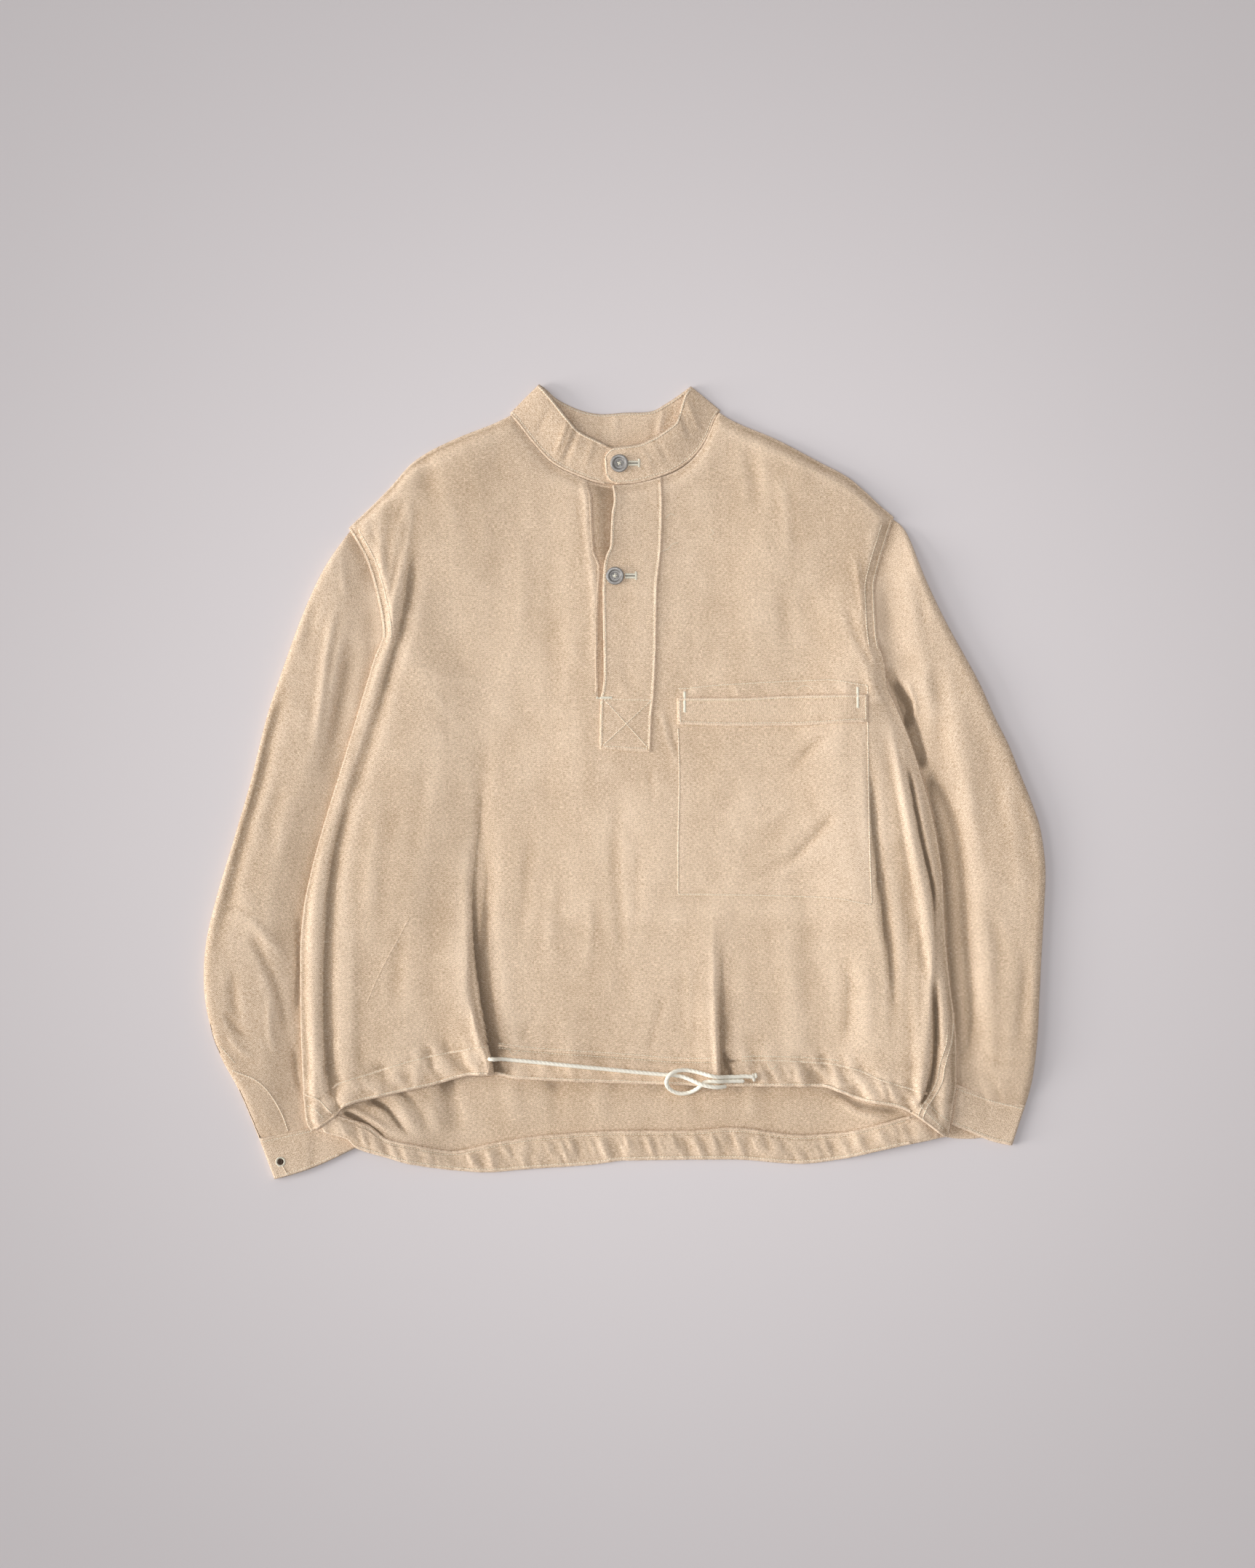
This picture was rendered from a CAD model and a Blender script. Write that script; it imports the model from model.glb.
"""A pull-over work smock in herringbone linen, laid flat on its back, as an add-on run as a script.

The tables are in millimetres, in the smock's own frame: +X to the wearer's left, +Y to the
collar, +Z up from the surface. "Right" and "left" are the wearer's. Meshes are in metres.
"""

import functools
import math

import bpy
import numpy as np
from bpy.props import FloatProperty, FloatVectorProperty, IntProperty, PointerProperty
from bpy.types import Operator, Panel, PropertyGroup
from mathutils.bvhtree import BVHTree
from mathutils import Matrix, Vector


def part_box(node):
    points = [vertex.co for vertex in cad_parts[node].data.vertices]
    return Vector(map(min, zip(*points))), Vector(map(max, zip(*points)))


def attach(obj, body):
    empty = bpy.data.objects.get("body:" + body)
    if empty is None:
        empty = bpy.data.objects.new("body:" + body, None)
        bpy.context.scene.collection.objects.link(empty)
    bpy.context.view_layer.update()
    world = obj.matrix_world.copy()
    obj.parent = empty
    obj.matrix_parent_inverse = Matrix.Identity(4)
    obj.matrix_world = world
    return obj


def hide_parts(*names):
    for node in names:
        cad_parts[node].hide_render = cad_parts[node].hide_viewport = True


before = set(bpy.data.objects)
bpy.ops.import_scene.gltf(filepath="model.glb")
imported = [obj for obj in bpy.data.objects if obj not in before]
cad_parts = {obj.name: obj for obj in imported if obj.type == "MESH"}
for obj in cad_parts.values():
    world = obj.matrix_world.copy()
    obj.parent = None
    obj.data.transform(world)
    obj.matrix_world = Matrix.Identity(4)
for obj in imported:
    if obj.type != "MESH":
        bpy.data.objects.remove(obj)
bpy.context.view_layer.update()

bl_info = {
    "name": "Linen work smock, laid flat",
    "version": (1, 0, 0),
    "blender": (4, 5, 0),
    "location": "View3D > Sidebar > Smock",
    "description": "Builds a pull-over linen work smock laid flat, piece by piece",
    "category": "Object",
}

MM = 0.001
BODY = "root"

# The cut's heights, as in the solids.
CLOTH = 1.4
SEAM = 0.5
LOOSE = 0.9
LAID = 0.35
SLEEVE_PRESSED = 4.6
BODY_LIFT = SLEEVE_PRESSED + 0.4
INNER_ROOM = 1.3


def ease(t):
    """A smooth step from 0 to 1: three t squared less two t cubed."""
    t = np.clip(t, 0.0, 1.0)
    return t * t * (3 - 2 * t)


def mix(a, b, t):
    return a + (b - a) * t


def rows_of(text):
    """Rows of numbers from text: one row for each word, its numbers with commas between."""
    return [tuple(map(float, word.split(","))) for word in text.split()]


def crease_table(text):
    """Creases from text, with semicolons between: five sizes, a colon, and the line's points."""
    pairs = [crease.split(":") for crease in text.split(";")]
    return [(*map(float, sizes.split()), rows_of(line)) for sizes, line in pairs]


def guide(text, *ends):
    """A smooth line through rows of key,value and the ends given with them, without overshoot:
    a cubic in each interval, whose slope at a row is the harmonic mean of the slopes on its two
    sides."""
    key, value = np.array(sorted([*rows_of(text), *ends]), dtype=float).T
    slope = np.diff(value) / np.diff(key)
    before, after = np.append(slope[0], slope), np.append(slope, slope[-1])
    same_way = before * after > 0
    tangent = np.where(same_way, 2 * before * after / np.where(same_way, before + after, 1), 0)

    def at(q):
        q = np.clip(q, key[0], key[-1])
        i = np.clip(np.searchsorted(key, q, side="right") - 1, 0, len(key) - 2)
        step = key[i + 1] - key[i]
        t = (q - key[i]) / step
        level = value[i] * (1 + 2 * t) * (1 - t) ** 2 + value[i + 1] * t * t * (3 - 2 * t)
        return level + step * (tangent[i] * t * (1 - t) ** 2 - tangent[i + 1] * t * t * (1 - t))

    return at


# Lines down the body, as y,x.
RIGHT_EDGE = guide("""
    237,-257 205,-240 175,-231 150,-226 138,-225 115,-233 65,-248 25,-260 -40,-280 -80,-291
    -120,-299 -160,-302 -200,-302 -290,-299 -318,-296 -326,-291""")
LEFT_EDGE = guide("""
    247,251 225,244 205,238 180,233 150,234 130,236 110,242 90,244 72,252 35,267 0,278 -30,286
    -60,292 -90,296 -135,298 -190,303 -220,307 -250,309 -280,309 -300,306 -331,301""")
RIGHT_GROOVE = guide("""
    290,-196 230,-204 180,-212 130,-214 60,-232 0,-250 -60,-264 -120,-271 -200,-275 -280,-273
    -305,-267 -330,-266""")
RIGHT_FOLD = guide("""
    344,-106 200,-110 100,-118 0,-128 -100,-138 -180,-144 -205,-142 -225,-137 -245,-130
    -272,-124 -370,-122""")
OPENING_EDGE = guide("""
    282,-36 265,-31 240,-30 215,-28 200,-23 150,-25 120,-25.5 79,-25 30,-27 -370,-40""")
PLACKET_EDGE = guide("""
    278,-11 262,-9.5 250,-11.5 220,-13 210,-17 200,-19 180,-20 100,-19 85,-20.5 79,-22 31,-23
    -370,-23""")
PLACKET_SEAM = guide("284,34 260,35 220,34 180,30 120,29 79,27 60,25 28,24 -370,24")
POCKET_RIGHT_END = guide("292,51 95,49 0,51 -60,50 -370,50")
LEFT_FOLD = guide("346,88 200,93 100,98 0,101 -100,98 -180,93 -230,90 -370,88")
POCKET_LEFT_END = guide("296,188 200,214 90,226 0,227 -113,230 -200,236 -260,232 -370,226")
LEFT_GROOVE = guide("""
    268,226 220,224 180,222 140,223 100,231 60,246 20,257 -25,268 -60,277 -100,285 -130,289
    -160,288 -205,285 -250,285.5 -290,280 -308,270 -370,262""")
UNDER_RIGHT = guide("""
    237,-257 205,-240 175,-231 150,-227 130,-223 110,-214 92,-200 40,-200 -60,-212 -160,-222
    -300,-224""")
UNDER_LEFT = guide("""
    247,251 222,243 200,236 175,233 150,234 128,236 100,231 70,221 40,215 -60,226 -160,240
    -300,254""")

# Lines across the body, as x,y.
RIGHT_NECK, LEFT_NECK = (-106, 342), (88, 344.5)
RIGHT_SHOULDER = guide("-257,237 -236,257 -220,273 -195,300 -160,319 -120,335", RIGHT_NECK)
LEFT_SHOULDER = guide("100,337 140,320 180,299 208,284 225,270 240,256 251,247", LEFT_NECK)
FRONT_NECK = guide("""
    -99,333.5 -88,319 -72,301 -60,292.5 -45,285.5 -28,279 -12,276.2 2,277 15,279 32,283.5
    48,289.8 61,298.8 71,310 79,324.5 84,336""", RIGHT_NECK, LEFT_NECK)
BACK_NECK = guide("""
    -101,337.4 -85,325.5 -60,314.6 -30,308.8 0,307.4 30,309.3 55,317.6
    75,330.4 84,339.6""", RIGHT_NECK, LEFT_NECK)
POCKET_TOP = guide("-302,92 0,88 50,87 85,90 160,94 190,95 226,90 309,88")
WELT_TOP = guide("-302,79 48,78 110,78 150,80 226,81 309,80")
WELT_BOTTOM = guide("-302,54 48,54 100,52.5 160,53 224,56 309,56")
PLACKET_BOTTOM = guide("-302,31 -23,31 24,28 309,28")
POCKET_BOTTOM = guide("-302,-105 50,-105 170,-107 200,-109 229,-114 309,-116")
FRONT_CASING = guide("""
    -302,-302 -290,-298 -276,-291 -268,-282 -240,-273 -190,-258 -150,-250 -132,-247 -98,-251
    0,-258 60,-262 130,-260 190,-263 215,-268 240,-278 280,-290 309,-300""")
FRONT_HEM = guide("""
    -302,-328 -291,-325 -270,-312 -262,-303 -222,-292 -180,-283 -138,-273 -125,-273 -100,-277
    0,-281 110,-284 185,-284.5 200,-289 222,-297 255,-303 268,-309 280,-317 301,-331 309,-332""")
BACK_CASING = guide("""
    -302,-296 -266,-312 -240,-320 -222,-333 -200,-338 -160,-345 -120,-337 -80,-331 0,-326
    60,-326 100,-323 165,-330 200,-328 225,-323 268,-311 309,-300""")
BACK_HEM = guide("""
    -302,-316 -285,-325 -258,-333 -250,-341 -225,-349 -200,-356 -160,-362 -130,-364 -90,-361
    -30,-357 0,-353 100,-352 165,-356 200,-352 240,-343 300,-330.5 309,-329""")


def top_line(neck):
    """The shoulders with the given neckline between them."""
    def at(x):
        y = np.where(x > LEFT_NECK[0], LEFT_SHOULDER(x), neck(x))
        return np.where(x < RIGHT_NECK[0], RIGHT_SHOULDER(x), y)
    return at


FRONT_TOP = top_line(FRONT_NECK)
BACK_TOP = top_line(BACK_NECK)

# Folds that the solids have too, straight from one point to another:
# x0, y0, x1, y1, reach to the right side, reach to the left side, height.
FOLDS = rows_of("""
    -287,40,-287,-345,16,12,2.2 -256,-60,-256,-330,10,24,1.5 -204,292,-222,120,8,9,1.7
    -226,265,-227,180,6,6,0.9 -152,-60,-130,-340,46,4.5,2.9 -60,-170,-40,-300,26,26,0.9
    82,-90,88,-340,34,4.5,2.2 150,-60,160,-300,18,18,0.9 246,60,287,-190,20,4.5,2.0
    270,-140,276,-330,20,9,2.2 299,-120,300,-360,9,12,2.2 214,150,236,70,14,10,1.2""")

# Creases: height, reach west or south, reach east or north, share that fades in, share that
# fades out, and the points they run through, from the collar down or from west to east.
FRONT_CREASES = (
    # The roll of the right side's edge, and the groove inside it.
    *crease_table("""
        1.3 8 9 .08 .02: -203,292 -203,250 -208,200 -215,160 -226,120 -241,80 -254,40 -267,0
          -281,-50 -290,-95 -294,-140 -294,-200 -291,-250 -289,-325;
        -2.1 7 14 .2 .02: -194,240 -199,190 -206,150 -222,95 -238,40 -252,0 -266,-50 -274,-100
          -278,-150 -279,-200 -277,-255 -270,-300;
        1.1 5 5 .2 .3: -224,278 -229,250 -228,215 -222,180 -222,150;
        -1.5 5 6 .2 .3: -214,265 -207,235 -213,200 -219,165;
        -.9 2.4 2.4 .1 .4: -251,240 -246,222 -239,205;
        .9 2.4 2.4 .1 .4: -245,244 -240,225 -235,208;
        -.7 2.4 3 .1 .4: -239,246 -235,228 -231,205;
        -1.6 16 15 .3 .5: -186,314 -184,285 -178,250;
        -.8 18 16 .5 .5: -150,300 -146,240 -150,180"""),
    # The deep pleat on the right, above the hem.
    *crease_table("""
        3.2 70 5 .3 .02: -147,-120 -147,-180 -145,-205 -140,-225 -133.5,-245 -128.5,-262
          -127,-280;
        2.4 34 9 .5 .02: -146,-20 -149,-80 -150,-130 -149,-180 -146,-208 -139,-233 -131,-258
          -127,-276;
        -5.0 2.2 26 .5 .02: -134,10 -138,-50 -141,-110 -139,-160 -134,-200 -128,-235 -122,-262
          -120,-280;
        -.9 14 12 .5 .5: -131,60 -133,0 -138,-60 -142,-120"""),
    # The pleat on the left of the placket, above the hem.
    *crease_table("""
        1.8 34 2 .3 .02: 86,-190 86.5,-230 88,-286;
        1.8 26 3 .5 .02: 82,-100 83,-160 84,-220 87,-286;
        -2.9 4 20 .6 .02: 94,-130 91,-180 90.5,-230 91,-286"""),
    # The flap at the right side's bottom.
    *crease_table("""
        -3.0 2 6 .3 .02: -271,-222 -275,-250 -274,-275 -270,-295 -266,-310;
        1.0 7 3 .3 .02: -279,-240 -281,-270 -277,-292 -273,-308"""),
    # Across the pocket bag.
    *crease_table("""
        -1.0 9 6 .3 .5: 200,52 180,38 162,20 148,-4;
        -1.1 9 6 .3 .5: 204,-18 184,-42 162,-66 140,-80 112,-92;
        .5 8 8 .4 .4: 160,-10 140,-30 110,-44"""),
    # Beside the pocket, and the fold over the left side strip.
    *crease_table("""
        -2.0 4 11 .25 .4: 227,40 229,0 231,-40 235,-80 240,-120 246,-165 249,-205 246,-250;
        1.6 10 5 .2 .05: 242,75 252,30 260,-10 268,-50 277,-92 284,-130 286,-165 284,-205
          281,-250 275,-295;
        -3.4 3 6 .2 .3: 262,24 270,-20 277,-55 286,-95 292,-138;
        -4.6 3 6 .25 .04: 287,-180 289,-215 289,-250 284,-280 275,-303;
        1.2 6 5 .3 .1: 292,-140 298,-185 303,-230 304,-265 300,-325;
        -.9 7 6 .4 .4: 256,-70 263,-120 267,-180;
        -.9 10 8 .4 .3: 207,-150 208,-205 204,-255;
        .6 9 9 .4 .3: 222,-150 226,-205 222,-255"""),
    # At the left armhole.
    *crease_table("""
        -1.0 8 6 .3 .3: 206,175 215,140 228,112 238,96;
        .8 5 6 .3 .3: 214,215 219,180 222,150"""),
    # The middle.
    *crease_table("""
        -.6 9 8 .4 .4: -6,20 -9,-60 -4,-140 -6,-215;
        .5 8 8 .4 .4: -34,-90 -33,-140 -40,-200;
        -.5 8 7 .4 .4: 14,-40 12,-100 8,-170;
        -.6 9 9 .4 .4: -86,-20 -92,-90 -98,-170;
        .6 10 10 .4 .4: -64,-60 -70,-120 -72,-200;
        -.8 2.5 4 .2 .3: -80,-208 -90,-226 -99,-246;
        -.6 5 4 .2 .3: 38,-196 30,-225 21,-256;
        .5 7 7 .4 .3: 56,-140 60,-200 58,-250;
        -.9 10 11 .3 .5: 110,322 120,290 124,240;
        .7 10 10 .4 .4: 140,300 150,250 150,190;
        -.6 12 12 .4 .4: 146,200 150,150 158,112;
        .5 12 12 .4 .4: -100,250 -96,180 -104,110;
        -.5 14 14 .4 .4: -70,200 -66,120 -70,50;
        -.6 14 12 .4 .4: -180,60 -190,-20 -205,-110;
        .7 12 12 .4 .4: -226,10 -236,-80 -240,-170;
        -.6 10 10 .4 .4: -206,-110 -212,-180 -214,-240"""),
    # Short ones by the placket's box, and a pale pressed line.
    *crease_table("""
        .8 4 4 .3 .4: 33,72 38,48 47,22 54,4;
        -.8 4 3 .3 .4: 42,66 44,44 50,20;
        .5 3 3 .3 .5: 50,112 42,98 33,88;
        -.5 4 4 .3 .4: 20,20 26,-10 22,-34;
        .5 1.8 1.8 .2 .3: -200,-126 -214,-152 -228,-178 -240,-206;
        .45 1.8 1.8 .2 .3: -178,84 -186,74 -193,66;
        .45 1.8 1.8 .2 .3: -181,84 -173,76 -167,66"""),
    # The right edge of the opening lifts a little.
    *crease_table("""
        1.2 7 3 .05 .3: -39,284 -35,262 -34,238 -31,210 -27,170 -27,90"""),
)
# How dark or pale the cloth is along some lines, in the creases' form: the shaded insides of
# deep folds, and their rubbed crests.
FRONT_SHADES = crease_table("""
    -.8 3 30 .5 .02: -140,-60 -142,-110 -143,-160 -138,-205 -129,-240 -124,-262 -122,-280;
    -.35 3 26 .6 .02: 93,-150 92,-200 91,-240 91,-286;
    -.8 3 14 .4 .05: 92,-246 94,-260 97,-278;
    -.45 8 10 .3 .1: -238,40 -252,0 -266,-50 -274,-100 -278,-150 -279,-200 -277,-255 -270,-300;
    -.45 9 9 .3 .3: -194,240 -199,190 -206,150 -222,95 -238,40;
    -.8 4 8 .2 .2: 262,24 270,-20 277,-55 286,-95 292,-138;
    -.8 4 7 .25 .04: 287,-180 289,-215 289,-250 284,-280 275,-303;
    -.6 6 15 .3 .4: 227,40 229,0 231,-40 235,-80 240,-120 246,-165 249,-205 246,-250;
    .6 10 5 .2 .1: 242,75 252,30 260,-10 268,-50 277,-92 284,-130 286,-165;
    .4 14 5 .3 .02: -152,-100 -151,-170 -144,-220 -134,-262;
    -.5 12 10 .3 .3: 214,250 222,215 219,175 222,140 232,100;
    -.5 10 14 .2 .5: -34,70 -34,20 -30,-30;
    -.5 6 10 .2 .3: 30,66 34,40 44,14;
    -.6 2 4 .1 .1: -262,-322 -265,-310 -262,-300""")
BACK_SHADES = crease_table("""
    -.75 20 26 .02 .02: -270,-309 -222,-294 -180,-285 -138,-275 -100,-279 0,-283 110,-286
      185,-287 222,-299 268,-311;
    -1.1 3 5 .05 .3: -262,-309 -248,-315 -235,-324 -222,-333;
    -1.0 4 5 .1 .4: -244,-300 -224,-304 -212,-318 -200,-335;
    -.8 5 6 .2 .3: -190,-284 -180,-300 -172,-316 -168,-336;
    -.9 3.5 3.5 .02 .02: -262,-314 -240,-320 -222,-333 -200,-338 -160,-345 -120,-337 -80,-331
      0,-326 60,-326 100,-323 165,-330 200,-328 225,-323 268,-311""")
SLEEVE_SHADES = {
    "right": crease_table("""
        -.7 10 6 .1 .1: -226,135 -240,95 -254,50 -268,0 -284,-50 -296,-100 -302,-160 -302,-220
          -300,-300;
        -.5 8 16 .3 .4: -310,110 -333,40 -357,-50 -378,-140"""),
    "left": crease_table("""
        -.85 6 30 .1 .3: 243,108 256,66 272,20 284,-20 293,-70 299,-130 305,-200 310,-260
          312,-310;
        -1.1 5 9 .3 .3: 246,100 256,84 266,70 264,58 256,44"""),
}
BACK_CREASES = crease_table("""
    -1.6 3 4 .1 .3: -262,-309 -248,-315 -235,-324 -222,-332;
    1.3 3 3 .1 .3: -258,-304 -244,-310 -230,-318 -214,-331;
    -1.8 4 5 .1 .3: -238,-294 -224,-304 -212,-318 -200,-333;
    1.2 4 4 .1 .3: -228,-288 -212,-298 -202,-312 -192,-330;
    -1.3 4 6 .1 .3: -214,-286 -200,-298 -190,-312 -184,-330;
    -1.4 14 9 .2 .4: -166,-270 -160,-300 -152,-335;
    .9 12 12 .3 .3: -186,-270 -178,-300 -172,-334;
    .7 14 14 .3 .3: -110,-270 -106,-300 -100,-328;
    -.6 12 12 .3 .3: -70,-270 -64,-300 -66,-325;
    .5 12 12 .3 .3: -20,-270 -24,-300 -14,-322;
    -.6 12 12 .3 .3: 60,-270 66,-295 72,-320;
    .6 10 10 .3 .3: 112,-270 118,-300 110,-320;
    -1.0 8 6 .3 .3: 190,-280 214,-300 246,-306 266,-309;
    .9 6 6 .3 .3: 196,-292 220,-310 248,-313""")
RIGHT_SLEEVE_CREASES = crease_table("""
    -3.2 10 15 .35 .5: -250,158 -256,130 -262,95 -268,60 -275,25 -283,-8;
    1.6 9 5 .2 .3: -268,168 -277,120 -283,70 -290,20;
    -2.0 7 14 .2 .3: -310,110 -322,80 -333,40 -343,-5 -357,-50 -368,-95 -378,-140 -383,-185;
    -.8 12 12 .3 .4: -318,10 -330,-40 -334,-80;
    .7 13 13 .3 .4: -346,-90 -352,-130 -350,-160;
    -1.6 5 9 .2 .4: -350,-140 -338,-164 -327,-188 -320,-216 -315,-250;
    1.2 7 5 .2 .4: -352,-124 -336,-142 -322,-158 -313,-180;
    -1.2 6 6 .3 .3: -308,-112 -304,-150 -304,-190 -311,-225;
    1.0 5 6 .2 .4: -330,-196 -331,-230 -324,-262;
    -1.3 8 8 .3 .4: -366,-176 -364,-208 -354,-234;
    -1.3 4 7 .2 .4: -374,-214 -361,-232 -346,-240;
    .9 5 5 .2 .4: -370,-236 -356,-252 -341,-258;
    -1.1 5 5 .3 .4: -310,-240 -306,-275 -298,-305;
    -.9 9 9 .4 .4: -284,190 -292,150 -300,110;
    -.9 3 4 .2 .4: -372,-120 -360,-118 -344,-126;
    .9 5 5 .3 .4: -264,220 -262,190 -258,165""")
LEFT_SLEEVE_CREASES = crease_table("""
    -4.2 6 9 .1 .2: 244,108 252,90 260,74 266,56 272,36 280,8;
    1.4 3 4 .2 .3: 262,96 269,78 271,66 267,54;
    -1.7 12 13 .4 .4: 288,128 291,96 294,60 296,30 300,0;
    -4.5 12 22 .25 .35: 284,24 294,-20 302,-60 307,-110 311,-170 315,-230 313,-290;
    1.0 12 14 .3 .3: 310,90 314,40 322,-20 330,-80;
    -.7 12 12 .3 .3: 330,60 344,0 352,-50;
    .7 12 12 .3 .3: 352,10 366,-60 370,-120;
    -.8 10 12 .3 .3: 340,-110 348,-160 346,-215;
    -.7 8 8 .3 .3: 372,-150 372,-200 366,-250;
    -.7 10 9 .3 .4: 268,200 276,165 282,130;
    -.6 9 9 .3 .4: 344,-190 350,-240 344,-290;
    .5 2.5 2.5 .3 .3: 330,-196 348,-197 366,-202;
    -.6 3 3 .3 .3: 330,-250 350,-262 372,-262""")


def smooth_line(points, each=6):
    """A curve through points: a Catmull-Rom cubic between each two, cut into equal parts."""
    p = np.array(points, dtype=float)
    wide = np.vstack([p[:1], p, p[-1:]])
    t = np.linspace(0, len(p) - 1, each * (len(p) - 1) + 1)
    i = np.minimum(t.astype(int), len(p) - 2)
    w = (t - i)[:, None]
    p0, p1, p2, p3 = wide[i], wide[i + 1], wide[i + 2], wide[i + 3]
    v0, v1 = (p2 - p0) / 2, (p3 - p1) / 2
    return ((2 * p1 - 2 * p2 + v0 + v1) * w ** 3 + (3 * p2 - 3 * p1 - 2 * v0 - v1) * w ** 2
            + v0 * w + p1)


def crease_heights(x, y, creases):
    """The sum of the creases at each point: each is its height, times a bell of the distance
    from its line over its reach on that side, times a smooth rise and fall along the line."""
    total = np.zeros_like(x, dtype=float)
    for height, west, east, fade_in, fade_out, points in creases:
        line = smooth_line(points)
        far = max(west, east)
        low, high = line.min(axis=0) - far, line.max(axis=0) + far
        near = (x > low[0]) & (x < high[0]) & (y > low[1]) & (y < high[1])
        if not near.any():
            continue
        start, span = line[:-1], np.diff(line, axis=0)
        length = np.hypot(*span.T)
        from_x, from_y = x[near][:, None] - start[:, 0], y[near][:, None] - start[:, 1]
        share = np.clip((from_x * span[:, 0] + from_y * span[:, 1]) / length ** 2, 0, 1)
        gap = np.hypot(from_x - share * span[:, 0], from_y - share * span[:, 1])
        pick = np.arange(len(gap)), gap.argmin(axis=1)
        side = (span[:, 0] * from_y - span[:, 1] * from_x)[pick]
        passed = np.append(0, length.cumsum()[:-1])
        along = (passed + share * length)[pick] / length.sum()
        bell = 1 - ease(gap[pick] / np.where(side > 0, east, west))
        total[near] += height * bell * ease(along / fade_in) * ease((1 - along) / fade_out)
    return total


def fold_heights(x, y):
    """The highest of the solids' folds at each point: each rises slowly along its line and
    falls away to both sides by a smooth step over its reach."""
    highest = np.zeros_like(x, dtype=float)
    for x0, y0, x1, y1, right, left, height in FOLDS:
        dx, dy = x1 - x0, y1 - y0
        share = np.clip(((x - x0) * dx + (y - y0) * dy) / (dx * dx + dy * dy), 0, 1)
        across = -(dx * (y - y0) - dy * (x - x0)) / math.hypot(dx, dy)
        reach = np.where(across < 0, right, left)
        swell = ease(share / 0.6) * ease((1 - share) / 0.1)
        highest = np.maximum(highest, height * swell * (1 - ease(np.abs(across) / reach)))
    return highest


def hills(x, y, wide, tall, seed):
    """Smooth hills from -1 to 1: random heights at the corners of cells of the given size,
    blended by a smooth step both ways."""
    heights = np.random.default_rng(seed).uniform(-1, 1, (128, 128))
    u, v = np.asarray(x) / wide + 40.37, np.asarray(y) / tall + 40.71
    i, j = np.floor(u).astype(int), np.floor(v).astype(int)
    s, t = ease(u - i), ease(v - j)
    low = mix(heights[i % 128, j % 128], heights[(i + 1) % 128, j % 128], s)
    high = mix(heights[i % 128, (j + 1) % 128], heights[(i + 1) % 128, (j + 1) % 128], s)
    return mix(low, high, t)


def rumple(x, y, seed):
    """Soft unevenness of washed linen: long hills down the cloth, and smaller ones turned a
    little each way, so that no grid shows."""
    a, b = x * 0.94 + y * 0.34, y * 0.94 - x * 0.34
    c, d = x * 0.91 - y * 0.41, y * 0.91 + x * 0.41
    return (0.55 * hills(x, y, 46, 120, seed) + 0.32 * hills(a, b, 26, 44, seed + 1)
            + 0.28 * hills(c, d, 17, 26, seed + 2) + 0.2 * hills(a, b, 8, 13, seed + 3)
            + 0.1 * hills(c, d, 5, 7, seed + 4))


def puckers(along, across, seed, size=9.0):
    """Small gathers beside a seam: hills that are short along it and long across it."""
    slant = along + 0.35 * across
    return (hills(slant, across, size, 26, seed) * 0.6
            + hills(slant, across, size * 0.45, 14, seed + 1) * 0.4)


def body_under(x, y):
    """Height of what lies under the back: it rises onto each sleeve's near side by a smooth
    step, and only below the shoulders."""
    right = ease((UNDER_RIGHT(y) + 72 - x) / 60)
    left = ease((x - UNDER_LEFT(y) + 72) / 60)
    return BODY_LIFT * np.maximum(right, left) * ease((205 - y) / 55)


def back_top(x, y):
    return body_under(x, y) + CLOTH


def tail_top(x, y):
    """The back's upper side where the front doesn't cover it, with its creases."""
    tail = ease((-262 - y) / 14)
    loose = 0.6 * rumple(x, y, 70) + 1.25 * crease_heights(x, y, BACK_CREASES)
    return back_top(x, y) + tail * (1.5 + np.maximum(loose, -2.4))


def inside_front(x, y):
    """How far a point is inside the front's sides and its upper edge."""
    return np.minimum(np.minimum(x - RIGHT_EDGE(y), LEFT_EDGE(y) - x), FRONT_TOP(x) - y)


def front_gap(x, y):
    """The room between back and front: a seam's at the edges, rising to the loose cloth's by a
    smooth step, and more at the pocket and the hem."""
    pocket = ease((x + 75) / 30) * ease((250 - x) / 20) * ease((y + 145) / 30)
    hem = ease((-262 - y) / 25)
    return mix(SEAM, LOOSE, ease(inside_front(x, y) / 18)) + INNER_ROOM * np.maximum(pocket, hem)


def line_dip(distance, depth=0.45, reach=2.2):
    """A row of stitches pulls the cloth down along itself by a smooth step each way."""
    return -depth * (1 - ease(np.abs(distance) / reach))


@functools.lru_cache(maxsize=None)
def depth():
    return bpy.context.scene.smock_cloth.crease_depth


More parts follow.
